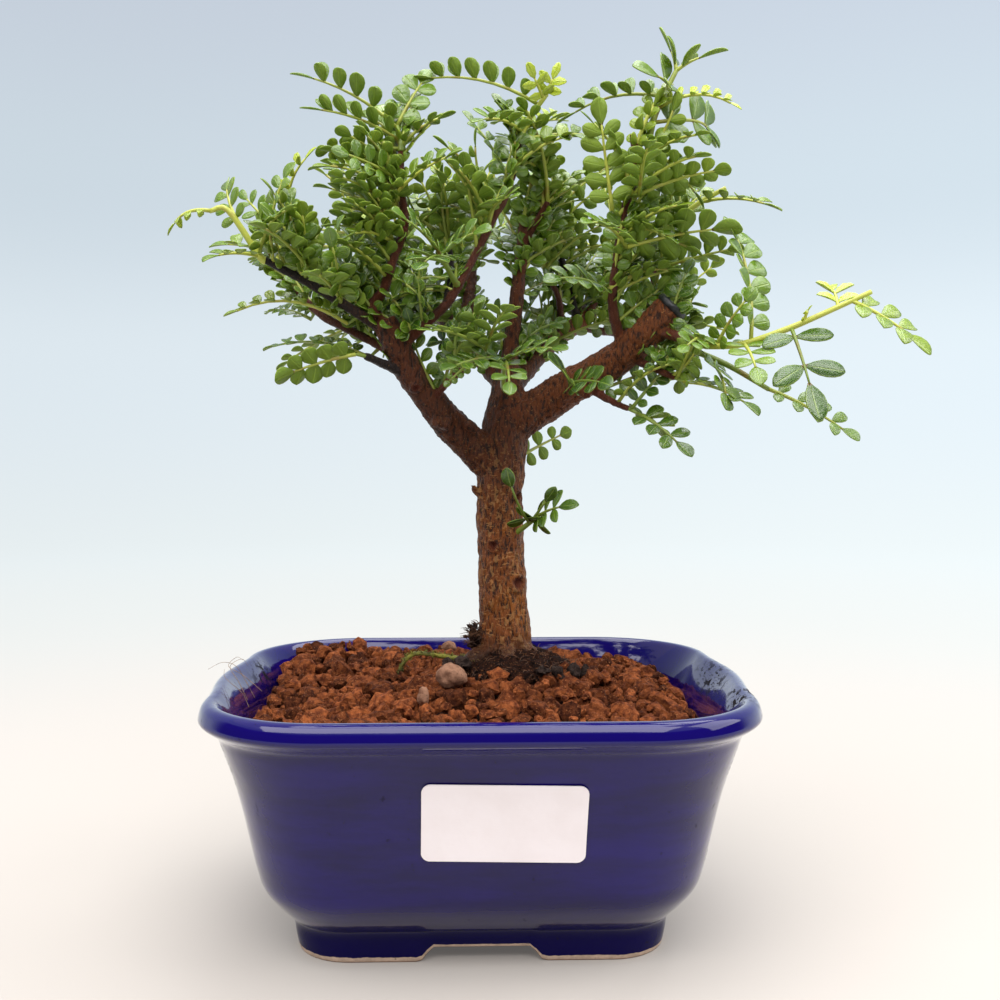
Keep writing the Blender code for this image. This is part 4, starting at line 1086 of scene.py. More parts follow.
@dataclass
class PaperLabel:
    """The blank label, bent over the pot's front wall."""

    width: float = 35.4
    height: float = 18.1
    corner: float = 2.0
    thick: float = 0.28
    off_glaze: float = 0.62
    x: float = 4.6
    z: float = 36.7
    tilt: float = math.radians(-1.2)
    spacing: float = 1.5

    def build(self, pot: Pot) -> None:
        """Makes the label.

        Args:
            pot: The pot that it is stuck on.
        """
        bm = bmesh.new()
        rim = bmesh.ops.create_circle(bm, cap_ends=True, segments=40, radius=1.0)["verts"]
        for v in rim:
            angle = math.atan2(v.co.y, v.co.x)
            across, up = math.cos(angle), math.sin(angle)
            v.co = (math.copysign(self.width / 2 - self.corner, across) + self.corner * across,
                    math.copysign(self.height / 2 - self.corner, up) + self.corner * up, 0)
        for axis, length in ((0, self.width), (1, self.height)):
            normal = Vector((1, 0, 0)) if axis == 0 else Vector((0, 1, 0))
            for step in range(1, int(length / self.spacing)):
                everything = bm.verts[:] + bm.edges[:] + bm.faces[:]
                at = normal * (step * self.spacing - length / 2)
                bmesh.ops.bisect_plane(bm, geom=everything, plane_co=at, plane_no=normal, dist=0.001)
        turn = Matrix.Rotation(self.tilt, 2)
        for v in bm.verts:
            spot = turn @ v.co.xy
            z = self.z + spot.y
            lift = 0.35 * max(0.0, v.co.x / self.width + v.co.y / self.height - 0.75)
            v.co = (self.x + spot.x, -pot.outer_depth(z) - self.off_glaze - lift, z)
        bm.normal_update()
        if sum(f.normal.y for f in bm.faces) > 0:
            bmesh.ops.reverse_faces(bm, faces=bm.faces)
        bmesh.ops.solidify(bm, geom=bm.faces[:], thickness=self.thick)
        bmesh.ops.recalc_face_normals(bm, faces=bm.faces)
        finish_piece("paper_label", bm, [PAPER], ["label"], sharp=45.0)


# Soil, peat and what lies on them


@dataclass
class Soil:
    """Baked-clay granules on a bed whose dark colour is painted shade, mounded round the trunk."""

    trunk: tuple[float, float] = (6.0, 4.0)
    edge: float = 53.0
    mound_rise: float = 8.5
    mound_reach: float = 38.0
    back_left_rise: float = 2.3
    heap_half_width: float = 49.0  # where the heap starts to fall towards the pot's sides
    heap_slope: float = 1.25
    bed_below: float = 2.4
    bed_clear: float = 0.5
    bed_rings: int = 16
    floor: float = 10.4
    sizes: tuple = ((2.9, 510), (2.35, 1260), (1.85, 2100), (1.35, 3000), (0.95, 3600))  # radius and tries
    layer: tuple[float, float] = (-3.0, 0.6)
    touch: float = 0.83  # distance over the sum of two radii
    peat_reach: float = 9.5
    pebble: Point = (-7.0, -16.0, 62.2)
    pebble_radii: Point = (3.6, 3.2, 3.0)
    seed: int = 5

    def height(self, x: float, y: float) -> float:
        """Height of the soil under its granules."""
        reach = ((x - self.trunk[0]) ** 2 + (y - self.trunk[1]) ** 2) / self.mound_reach ** 2
        back_left = max(0.0, -x / RIM_HALF_WIDTH) * max(0.0, y / RIM_HALF_DEPTH)
        fall = self.heap_slope * max(0.0, abs(x + 1.5) - self.heap_half_width)
        return self.edge + self.mound_rise * math.exp(-reach) + 4 * self.back_left_rise * back_left - fall

    def spots(self, pot: Pot, draw: random.Random) -> list[tuple[Vector, float]]:
        """Places and radii of the granules: large ones first, and smaller ones in the gaps."""
        cell = 2 * self.sizes[0][0]
        near: dict[tuple[int, int], list[tuple[Vector, float]]] = {}
        chosen = []
        taken = [(Vector(self.pebble), self.pebble_radii[0])]
        for mean, tries in self.sizes:
            for _ in range(tries):
                radius = mean * draw.uniform(0.85, 1.18)
                x = draw.uniform(-RIM_HALF_WIDTH, RIM_HALF_WIDTH)
                y = draw.uniform(-RIM_HALF_DEPTH, RIM_HALF_DEPTH)
                place = Vector((x, y, self.height(x, y) + draw.uniform(*self.layer) + 0.25 * (2.4 - radius)))
                if not pot.holds(x, y, place.z, radius * 0.9):
                    continue
                off_peat = math.hypot(x - self.trunk[0] - 2, y - self.trunk[1] + 2)
                if off_peat < self.peat_reach + draw.uniform(0, 4):
                    continue
                i, j = int(x // cell), int(y // cell)
                others = [o for a in (-1, 0, 1) for b in (-1, 0, 1) for o in near.get((i + a, j + b), [])]
                if any((place - p).length < self.touch * (radius + r) for p, r in others + taken):
                    continue
                near.setdefault((i, j), []).append((place, radius))
                chosen.append((place, radius))
        return chosen

    def build_granules(self, pot: Pot) -> None:
        """Makes the granules as one piece."""
        draw = random.Random(self.seed)
        lumps = lump_templates("granule", 14, 0.64, draw)
        bm = bmesh.new()
        for place, radius in self.spots(pot, draw):
            stretch = Matrix.Diagonal((draw.uniform(0.85, 1.3), draw.uniform(0.8, 1.1),
                                       draw.uniform(0.75, 1.0), 1))
            matrix = Matrix.Translation(place) @ turned(draw) @ Matrix.Scale(radius, 4) @ stretch
            tint = min(1.0, max(0.0, draw.gauss(0.5, 0.30)))
            add_copy(bm, draw.choice(lumps), matrix, tint)
        finish_piece("clay_granules", bm, [CLAY], ["soil"], sharp=26.0)

    def bed_place(self, spot: Vector) -> Vector:
        """A point of the bed's top above a spot."""
        bump = 0.9 * noise.noise(Vector((*spot, 0)) * 0.45)
        return Vector((*spot, self.height(*spot) - self.bed_below + bump))

    def bed_edge(self, pot: Pot) -> list[Vector]:
        """The bed's outline: the pot's, drawn in until the pot holds each point."""
        wall = pot.inner_half_width(self.edge)
        edge = []
        for spot in pot.outline(wall, pot.half_depth(wall), pot.corner(wall), pot.bow(wall)):
            while not pot.holds(*self.bed_place(spot), self.bed_clear):
                spot = spot * 0.995
            edge.append(spot)
        return edge

    def build_bed(self, pot: Pot) -> None:
        """Makes the soil bed, whose dark colour is painted shade where it shows between the granules and
        through the drain holes.
        """
        bm = bmesh.new()
        edge = self.bed_edge(pot)
        rings = [[Vector((p.x * 0.76, p.y * 0.66, self.floor)) for p in edge]]
        rings.extend([self.bed_place(p * (step / self.bed_rings)) for p in edge]
                     for step in range(self.bed_rings, 0, -1))
        extrude_rings(bm, rings)
        bmesh.ops.recalc_face_normals(bm, faces=bm.faces)
        bm.verts.layers.float.new("tint")
        finish_piece("soil_bed", bm, [SHADE_BED], sharp=60.0)

    def build_pebbles(self) -> None:
        """Makes the large pebble, a small one beside it and one behind the trunk, all of the same tan stone.
        """
        draw = random.Random(self.seed)
        for name, place, radii, replaced in (
                ("tan_pebble", self.pebble, self.pebble_radii, ["pebble"]),
                ("small_pebble", (-13.5, -24.0, 58.9), (1.4, 1.3, 2.3), []),
                ("back_pebble", (-8.5, 36.0, 60.4), (2.1, 1.9, 1.7), [])):
            bm = bmesh.new()
            bmesh.ops.create_icosphere(bm, subdivisions=4, radius=1.0)
            shift = Vector([draw.uniform(-20, 20) for _ in range(3)])
            for v in bm.verts:
                v.co *= 1 + 0.20 * noise.noise(v.co * 1.2 + shift) + 0.08 * noise.noise(v.co * 3.5 + shift)
            bmesh.ops.scale(bm, vec=radii, verts=bm.verts)
            bmesh.ops.translate(bm, vec=place, verts=bm.verts)
            tint = bm.verts.layers.float.new("tint")
            for v in bm.verts:
                v[tint] = 0.55
            finish_piece(name, bm, [STONE], replaced)


@dataclass
class RootBall:
    """The dark peat round the trunk's foot, with crumbs, a mossy root, moss and hair roots."""

    centre: tuple[float, float] = (8.5, 2.0)
    radius: tuple[float, float] = (14.5, 13.0)
    shape: tuple = ((0.55, 24), (0.9, 34), (1.0, 50), (1.02, 57.0), (0.97, 60.5), (0.82, 62.8), (0.62, 64.4),
                    (0.42, 65.6), (0.2, 66.0))
    sides: int = 48
    crumbs: int = 620
    tuft_crumbs: int = 34
    hairs: int = 520
    moss_strands: int = 420
    root_knots: float = 0.22
    seed: int = 9
    mossy_root: tuple[Knot, ...] = ((-20.5, 2.0, 58.5, 0.40), (-19.6, 1.5, 62.0, 0.50),
                                    (-16.5, 1.2, 64.6, 0.55), (-12.0, 1.5, 64.2, 0.50),
                                    (-8.0, 2.0, 63.5, 0.65), (-3.0, 2.0, 62.5, 0.95))
    tuft: Point = (-1.4, 1.5, 68.4)
    lumps: tuple[Knot, ...] = ((23.0, -6.5, 61.0, 1.9), (19.0, -9.0, 61.6, 1.5), (26.5, -4.0, 60.2, 1.5),
                               (15.0, -10.5, 62.2, 1.3), (-4.5, -5.0, 63.2, 1.7), (-8.0, -3.0, 62.6, 1.3))

    def surface(self, angle: float, share: float, z: float) -> Vector:
        """A point of the mound's skin."""
        wave = 1 + 0.06 * math.sin(3 * angle + 1) + 0.04 * math.sin(5 * angle)
        return Vector((self.centre[0] + self.radius[0] * share * wave * math.cos(angle),
                       self.centre[1] + self.radius[1] * share * wave * math.sin(angle), z))

    def in_tuft(self, draw: random.Random) -> Vector:
        """A place in the clump that stands at the trunk's left."""
        return Vector(self.tuft) + Vector((draw.gauss(0, 0.75), draw.gauss(0, 0.8), draw.gauss(0, 1.5)))

    def build_mound(self) -> None:
        """Makes the peat with its crumbs."""
        draw = random.Random(self.seed)
        bm = bmesh.new()
        tint = bm.verts.layers.float.new("tint")
        rings = [[self.surface(2 * math.pi * k / self.sides, share, z) for k in range(self.sides)]
                 for share, z in smooth_line(self.shape, 3)]
        extrude_rings(bm, rings)
        bmesh.ops.recalc_face_normals(bm, faces=bm.faces)
        bm.normal_update()
        for v in bm.verts:
            rough = 0.75 * noise.noise(v.co * 0.55) + 0.6 * noise.noise(v.co * 1.3)
            v.co += v.normal * rough * (0.4 if v.co.z < 50 else 1.0)
            v[tint] = 0.4
        lumps = lump_templates("peat_crumb", 6, 0.5, draw, 1)
        places = []
        for _ in range(self.crumbs):
            angle, share = draw.uniform(0, 2 * math.pi), math.sqrt(draw.uniform(0.12, 1.25))
            level = 66.3 - 6.2 * share ** 1.6
            places.append((self.surface(angle, share, level + draw.uniform(-0.3, 0.45)),
                           draw.uniform(0.35, 0.95)))
        places.extend((self.in_tuft(draw), draw.uniform(0.4, 0.9)) for _ in range(self.tuft_crumbs))
        for place, radius in places:
            shape = Matrix.Diagonal((draw.uniform(0.8, 1.8), 1.0, draw.uniform(0.6, 1.0), 1))
            matrix = Matrix.Translation(place) @ turned(draw) @ Matrix.Scale(radius, 4) @ shape
            add_copy(bm, draw.choice(lumps), matrix, draw.random())
        finish_piece("peat_mound", bm, [PEAT], ["root_ball"], sharp=50.0)
        bm = bmesh.new()
        coarse = lump_templates("peat_lump", 3, 0.65, draw, 3)
        for x, y, z, radius in self.lumps:
            matrix = Matrix.Translation((x, y, z)) @ turned(draw) @ Matrix.Scale(radius, 4)
            add_copy(bm, draw.choice(coarse), matrix @ Matrix.Diagonal((1.25, 1.0, 0.8, 1)), 0.5)
        finish_piece("peat_lumps", bm, [ASHEN], sharp=50.0)

    def build_roots(self) -> None:
        """Makes the mossy root, hair roots on the peat and the tuft at the trunk's left."""
        draw = random.Random(self.seed + 1)
        bm = bmesh.new()
        grow_tube(bm, self.mossy_root, 10)
        noise.seed_set(self.seed)
        for v in bm.verts:
            v.co += self.root_knots * noise.noise_vector(v.co * 0.9)
        finish_piece("mossy_root", bm, [MOSS])
        bm = bmesh.new()
        for k in range(self.hairs):
            angle, share = draw.uniform(0, 2 * math.pi), math.sqrt(draw.uniform(0.15, 1.1))
            start = self.surface(angle, share, 66.2 - 6.0 * share ** 1.6)
            if k % 3 == 0:
                start = self.in_tuft(draw)
            lean = Vector((draw.gauss(0, 1), draw.gauss(0, 1), draw.uniform(0.1, 1.3))).normalized()
            middle = start + lean * draw.uniform(0.9, 2.2)
            sway = lean + Vector((draw.gauss(0, 0.8), draw.gauss(0, 0.8), -0.6))
            end = middle + sway * draw.uniform(0.5, 1.7)
            grow_tube(bm, [(*start, 0.14), (*middle, 0.11), (*end, 0.04)], 3, 2)
        finish_piece("hair_roots", bm, [ROOT])

    def build_moss(self) -> None:
        """Makes the moss on the mossy root and at the trunk's left foot."""
        draw = random.Random(self.seed + 2)
        bm = bmesh.new()
        spots = [p.xyz for p in smooth_line(self.mossy_root, 6)]
        for k in range(self.moss_strands):
            if k % 4:
                start = draw.choice(spots) + Vector([draw.uniform(-0.7, 0.7) for _ in range(3)])
            else:
                start = self.surface(draw.uniform(math.pi * 0.85, math.pi * 1.15), draw.uniform(0.6, 0.95),
                                     63.2)
            lean = Vector((draw.gauss(0, 0.7), draw.gauss(0, 0.7), 1)).normalized()
            grow_tube(bm, [(*start, 0.16), (*(start + lean * draw.uniform(0.4, 1.0)), 0.03)], 3, 1)
        finish_piece("moss", bm, [MOSS])


@dataclass
class DryFibres:
    """Thin dry roots that curl over the pot's left rim."""

    radius: float = 0.085
    strands: tuple = (
        ((-55, -9, 55.6), (-57.5, -8, 59.8), (-60, -7, 63.2), (-63.5, -6, 63.9), (-67, -6, 62.2)),
        ((-56, -13, 56.0), (-58.5, -12, 60.5), (-60.8, -10, 63.6), (-58.6, -7, 64.9), (-57.2, -6, 63.2)),
        ((-54, -5, 56.5), (-58.8, -4, 60.3), (-62.4, -4, 62.6), (-60.4, -4, 64.8), (-58.6, -5, 64.3)),
        ((-55, -17, 55.2), (-57, -15, 58.2), (-61.5, -12, 61.2), (-62.4, -9, 62.8)),
    )

    def build(self) -> None:
        """Makes the strands."""
        bm = bmesh.new()
        for strand in self.strands:
            last = len(strand) - 1
            grow_tube(bm, [(*p, self.radius * (1 - 0.6 * k / last)) for k, p in enumerate(strand)], 5, 5)
        finish_piece("dry_fibres", bm, [FIBRE])


# Wood


LIMBS: dict[str, list[Knot]] = {
    "trunk": [(6, 4, 44, 7.0), (6, 4, 66, 6.9), (6.2, 4, 73, 6.3), (5.8, 4, 82, 6.0), (5.2, 4, 93, 5.8),
              (5.2, 4, 106, 5.9), (5.8, 4, 116, 6.2), (7, 4, 126, 5.3), (7, 6, 137, 3.4)],
    "left_limb": [(4, 4, 112, 5.0), (-6, 0, 121, 4.2), (-12, -5, 128, 3.8), (-17, -9, 135, 3.5),
                  (-21, -12, 143, 3.4), (-22.5, -12, 147, 3.3)],
    "right_limb": [(7, 4, 122, 5.2), (18, 2, 129, 4.7), (25, -2, 133, 4.5), (33, -6, 138, 4.1),
                   (40, -10, 144, 4.0), (45.5, -12, 150, 3.9)],
    "back_left_limb": [(6, 6, 133, 3.0), (-3, 14, 145, 2.6), (-10, 22, 152, 2.4), (-17, 28, 160, 2.1),
                       (-22, 32, 167, 1.7)],
    "back_right_limb": [(8, 7, 133, 3.2), (15, 16, 141, 2.9), (20, 22, 146, 2.7), (26, 27, 150, 2.5),
                        (31, 31, 155, 2.3)],
    "middle_limb": [(7, 6, 133, 2.6), (8, 5, 144, 2.0), (9, 4, 152, 1.9), (10, 4, 161, 1.8),
                    (11, 4, 168, 1.7),
                    (11, 4, 174, 1.4)],
    "inner_twig": [(-3, 14, 145, 2.1), (-3, 18, 154, 1.8), (-2, 21, 161, 1.6), (-2, 22, 167, 1.2)],
    "middle_fork": [(10.6, 4, 167, 1.2), (14, 2, 173, 0.9), (17, 1, 178, 0.8)],
    "front_red_twig": [(-19, -12, 141, 1.6), (-12, -14, 147, 1.2), (-7, -14, 152, 1.1), (-2, -13, 161, 1.0),
                       (3, -12, 171, 1.0), (7, -10, 179, 0.9), (10, -8, 192, 0.8)],
    "black_twig": [(-8, -14, 151, 1.0), (-7, -8, 160, 0.9), (-8, -3, 168, 0.8)],
    "high_left_twig": [(-22, -12, 144, 2.0), (-25.5, -13, 150, 1.5), (-23, -13, 154, 1.3),
                       (-21, -12, 161, 1.2),
                       (-18, -11, 170, 1.1), (-19, -10, 178, 1.0), (-19, -9, 188, 0.9)],
    "far_left_twig": [(-20, -11, 143, 1.6), (-30, -15, 149, 1.3), (-35, -17, 152, 1.2), (-42, -19, 156, 1.1),
                      (-50, -20, 160, 0.9)],
    "left_red_twig": [(-20, -11, 139, 1.3), (-33, -5, 146, 1.1), (-40, -1, 150, 1.0), (-51, 7, 161, 0.8)],
    "left_stub": [(-18, -10, 134.5, 1.3), (-27, -19, 138, 1.0)],
    "low_front_twig": [(-12, -5, 128, 1.1), (-7, -15, 133, 0.9), (0, -21, 138, 0.8)],
    "right_stub": [(42, -11, 145, 1.6), (49, -18, 142, 1.1), (52, -22, 140.5, 0.9)],
    "right_low_twig": [(36, -7, 139, 1.2), (42, -13, 135.5, 0.9), (46, -18, 133, 0.8)],
    "right_back_twig": [(35, -6, 139, 1.2), (43, 1, 139, 0.9), (50, 7, 141, 0.8)],
    "right_under_twig": [(26, -2, 132, 1.2), (32, -8, 128, 0.9), (36, -11, 126, 0.8)],
    "right_high_twig": [(35, -7, 140, 1.5), (32, -10, 150, 1.2), (32, -12, 157, 1.1), (34, -13, 172, 1.0),
                        (37, -14, 183, 1.0), (36, -14, 191, 0.9)],
    "right_mid_twig": [(41, -9, 145, 1.3), (43, -2, 157, 1.0), (45, 1, 165, 0.9), (48, 4, 172, 0.8)],
    "back_black_twig": [(27, 27, 151, 1.2), (24, 24, 161, 1.0), (21, 22, 172, 0.9), (20, 22, 179, 0.8)],
    "back_inner_twig": [(22, 23, 147.5, 1.2), (21, 17, 156, 0.9), (17, 14, 163, 0.8)],
    "back_low_left_twig": [(-10, 22, 152, 1.2), (-23, 36, 151, 1.0), (-35, 45, 152, 0.8)],
    "back_high_left_twig": [(-20, 30.5, 164, 1.3), (-28, 42, 171, 1.0), (-34, 50, 178, 0.8)],
    "back_middle_twig": [(-2, 21, 163, 1.1), (-1, 33, 172, 0.9), (-3, 43, 179, 0.8)],
    "back_high_right_twig": [(30, 30, 154, 1.3), (36, 42, 163, 1.0), (38, 50, 171, 0.8)],
    "back_low_right_twig": [(26, 27, 150, 1.3), (39, 37, 149, 1.0), (51, 43, 151, 0.8)],
}
BLACK_TWIGS = {"far_left_twig", "black_twig", "back_black_twig", "left_stub", "right_back_twig"}


@dataclass
class Wood:
    """Trunk, limbs and twigs, grown together and covered with bark."""

    voxel: float = 0.42
    smoothing: int = 2
    plate_depth: float = 0.38
    ridge_depth: float = 0.34
    lump_depth: float = 0.5
    grit_depth: float = 0.12
    scar_reach: float = 3.0  # times the scar's radius
    ring_height: float = 0.80  # the swollen ring round a scar
    hollow_depth: float = 1.0
    scars: tuple[Knot, ...] = ((3.2, -1.5, 92.1, 1.7), (9.6, -0.5, 82.6, 2.2), (9.8, -0.4, 104.5, 1.5),
                               (26.0, -4.8, 131.0, 1.7), (-15.5, -10.4, 131.5, 1.4))
    stubs: tuple = (
        ((-8.0, -6.0, 122.6, 2.2), (-11.2, -8.6, 123.4, 1.5)),
        ((1.5, 2.8, 104.6, 1.9), (-0.9, 1.4, 105.9, 1.1), (-2.3, 0.6, 107.3, 0.45)),
        ((-2.0, -3.0, 121.0, 1.6), (-3.2, -5.5, 123.0, 0.9)),
        ((30.0, -4.0, 133.6, 1.5), (30.5, -6.5, 131.2, 0.8)),
    )
    roots: tuple = (
        ((6, 4, 66, 5.2), (1, 1, 64.5, 3.0), (-4, -1.5, 62.0, 1.5)),
        ((6, 4, 66, 5.0), (11.5, 1, 64.5, 3.0), (16, -2, 61.5, 1.5)),
        ((6, 4, 66, 5.0), (7, -2, 64.5, 2.8), (6, -6.5, 62.0, 1.4)),
        ((6, 4, 66, 5.0), (10, 9, 64.5, 2.8), (13, 13, 62.0, 1.4)),
        ((6, 4, 66, 5.0), (2, 9, 64.5, 2.8), (-1, 13, 62.0, 1.4)),
    )

    def relief(self, place: Vector, radius: float) -> float:
        """How far the bark stands out at a place, by the limb's radius there."""
        plates = noise.noise(Vector((place.x * 0.55, place.y * 0.55, place.z * 0.22)))
        ridges = noise.noise(Vector((place.x * 1.6, place.y * 1.6, place.z * 0.5)) + Vector((9, 9, 9)))
        lumps = noise.noise(place * 0.16)
        size = min(1.0, radius / 5.0)
        bark = self.plate_depth * plates + self.ridge_depth * ridges
        return size * bark + self.lump_depth * size * lumps + self.grit_depth * noise.noise(place * 0.7)

    def scar(self, place: Vector) -> tuple[float, float]:
        """How far an old branch scar lifts the bark at a place, and how much it colours it."""
        lift, colour = 0.0, 0.0
        for x, y, z, radius in self.scars:
            away = (place - Vector((x, y, z))).length / radius
            if away < self.scar_reach:
                lift += self.ring_height * math.exp(-((away - 0.85) / 0.30) ** 2)
                lift -= self.hollow_depth * math.exp(-(away / 0.42) ** 2)
                colour = max(colour, math.exp(-(away / 0.75) ** 4))
        return lift, colour

    def build(self) -> None:
        """Makes the wood as one skin over all its tubes, and marks each point with its limb's girth."""
        bm = bmesh.new()
        for knots in LIMBS.values():
            grow_tube(bm, knots, 24 if knots[0][3] > 3 else 12)
        for knots in self.stubs + self.roots:
            grow_tube(bm, knots, 12)
        bm = baked(bm, ("REMESH", {"mode": "VOXEL", "voxel_size": self.voxel}))
        for _ in range(self.smoothing):
            bmesh.ops.smooth_vert(bm, verts=bm.verts, factor=0.5, use_axis_x=True, use_axis_y=True,
                                  use_axis_z=True)
        girth, dark, scarred = (bm.verts.layers.float.new(name) for name in ("girth", "dark", "scar"))
        stretches = []
        for name, knots in LIMBS.items():
            line = smooth_line(knots, 3)
            stretches.extend((a, b, name) for a, b in zip(line, line[1:]))
        grid = Stretches(stretches)
        bm.normal_update()
        for v in bm.verts:
            radius, name = grid.nearest(v.co)
            v[girth] = min(1.0, radius / 3.4)
            v[dark] = 1.0 if name in BLACK_TWIGS else 0.0
            lift, v[scarred] = self.scar(v.co)
            v.co += v.normal * (self.relief(v.co, radius) + lift)
        finish_piece("bark", bm, [BARK], ["trunk_and_branches"])


class Stretches:
    """Stretches of limbs, kept in a coarse grid so that the nearest is found quickly."""

    def __init__(self, stretches: Sequence[tuple[Vector, Vector, str]], cell: float = 9.0) -> None:
        """Sorts the stretches into cells.

        Args:
            stretches: The start and end of each, with its radius as fourth number, and its limb's name.
            cell: The grid's spacing.
        """
        self.cell = cell
        self.cells: dict[tuple[int, ...], list] = {}
        for start, end, name in stretches:
            low = [min(a, b) - cell for a, b in zip(start.xyz, end.xyz)]
            high = [max(a, b) + cell for a, b in zip(start.xyz, end.xyz)]
            spans = [range(int(a // cell), int(b // cell) + 1) for a, b in zip(low, high)]
            for i in spans[0]:
                for j in spans[1]:
                    for k in spans[2]:
                        self.cells.setdefault((i, j, k), []).append((start, end, name))

    def nearest(self, place: Vector) -> tuple[float, str]:
        """The radius and the limb's name of the stretch whose skin is nearest.

        Args:
            place: A point.

        Returns:
            The radius there and the name.
        """
        best = (1e9, 1.0, "trunk")
        for start, end, name in self.cells.get(tuple(int(c // self.cell) for c in place), []):
            along = end.xyz - start.xyz
            share = min(1.0, max(0.0, (place - start.xyz).dot(along) / along.length_squared))
            radius = start.w + (end.w - start.w) * share
            gap = abs((place - start.xyz - along * share).length - radius)
            if gap < best[0]:
                best = (gap, radius, name)
        return best[1], best[2]


@dataclass
class WoundPaste:
    """The cap of black paste on the right limb's cut end."""

    seed: int = 5
    radius: float = 4.1
    thick: float = 1.7
    wrinkle: float = 0.3

    def build(self) -> None:
        """Makes the cap as a rounded, slightly wrinkled disc."""
        noise.seed_set(self.seed)
        end, before = (Vector(LIMBS["right_limb"][k][:3]) for k in (-1, -2))
        along = (end - before).normalized()
        bm = bmesh.new()
        bmesh.ops.create_cone(bm, cap_ends=True, segments=32, radius1=self.radius, radius2=self.radius,
                              depth=self.thick)
        rim = [e for e in bm.edges if e.calc_face_angle(0.0) > 1.0]
        bmesh.ops.bevel(bm, geom=rim, offset=0.45 * self.thick, segments=4, profile=0.5, affect="EDGES",
                        material=-1)
        for _ in range(3):
            caps = [f for f in bm.faces if len(f.verts) > 4]
            bmesh.ops.inset_region(bm, faces=caps, thickness=self.radius / 4.5)
        for v in bm.verts:
            v.co += self.wrinkle * noise.noise_vector(v.co * 0.6)
        bmesh.ops.rotate(bm, matrix=along.to_track_quat("Z", "Y").to_matrix(), verts=bm.verts)
        bmesh.ops.translate(bm, vec=end + along * (self.thick * 0.5 - 0.1), verts=bm.verts)
        finish_piece("wound_cap", bm, [PASTE], ["wound_paste"])


# Leaves


class LeafForm(Enum):
    """How a leaf's leaflets are shaped: width over length, widest place, fold in degrees, depth of teeth."""

    ROUND = (0.84, 0.58, 8.0, 0.0)
    OVAL = (0.62, 0.58, 14.0, 0.0)
    SLENDER = (0.47, 0.56, 18.0, 0.0)
    YOUNG = (0.52, 0.50, 26.0, 0.16)


@dataclass(frozen=True)
class LeafletShape:
    """One leaflet of unit length along +X, facing +Z."""

    form: LeafForm
    wide: float
    tilt: float  # degrees more that its halves fold up
    curl: float
    notch: float = 0.02
    thick: float = 0.035
    rows: int = 7
    columns: int = 2

    def half_width(self, along: float) -> float:
        """Half the leaflet's width at a place along it."""
        width, widest, _, _ = self.form.value
        if along < widest:
            out = max(0.10, math.sin(math.pi / 2 * along / widest) ** 0.92)
        else:
            out = max(0.26, math.sqrt(max(0.0, 1 - ((along - widest) / (1 - widest)) ** 2)))
        return self.wide * width / 2 * out

    def template(self) -> bpy.types.Mesh:
        """Makes the leaflet from a grid.

        Returns:
            A closed mesh with the UV map blade, its upper face in material 0 and the rest in 1.
        """
        _, _, fold, teeth = self.form.value
        slope = math.tan(math.radians(fold + self.tilt))
        bm = bmesh.new()
        uv = bm.loops.layers.uv.new("blade")
        bmesh.ops.create_grid(bm, x_segments=self.rows, y_segments=self.columns, size=0.5)
        where = {}
        for v in bm.verts:
            share, side = v.co.x + 0.5, 2 * v.co.y
            along = 0.35 * share + 0.65 * (0.5 - 0.5 * math.cos(math.pi * share))
            toothed = 1 - teeth * (round(share * self.rows) % 2)
            half = self.half_width(along) * toothed
            where[v] = (along, (side + 1) / 2)
            v.co.x = along - along ** 6 * (self.notch * (1 - abs(side)) + 0.05 * side ** 2)
            v.co.y = half * side
            v.co.z = abs(v.co.y) * slope - self.curl * along ** 2
        for face in bm.faces:
            for loop in face.loops:
                loop[uv].uv = where[loop.vert]
        bm.normal_update()
        if sum(f.normal.z for f in bm.faces) < 0:
            bmesh.ops.reverse_faces(bm, faces=bm.faces)
        bmesh.ops.solidify(bm, geom=bm.faces[:], thickness=self.thick)
        bmesh.ops.recalc_face_normals(bm, faces=bm.faces)
        for face in bm.faces:
            face.material_index = 0 if face.normal.z > 0.2 else 1
        return template_mesh("leaflet", bm)


class LeafletStock:
    """The leaflet meshes of every form, each in a few curls, that leaves are put together from."""

    def __init__(self) -> None:
        """Makes the meshes."""
        self.meshes = {
            form: [LeafletShape(form, wide, tilt, curl).template()
                   for wide, tilt, curl in ((0.95, -5, 0.02), (1.0, 0, 0.07), (1.05, 5, 0.13),
                                            (1.0, 9, -0.04))]
            for form in LeafForm}

    def pick(self, form: LeafForm, draw: random.Random) -> bpy.types.Mesh:
        """One of the form's meshes."""
        return draw.choice(self.meshes[form])


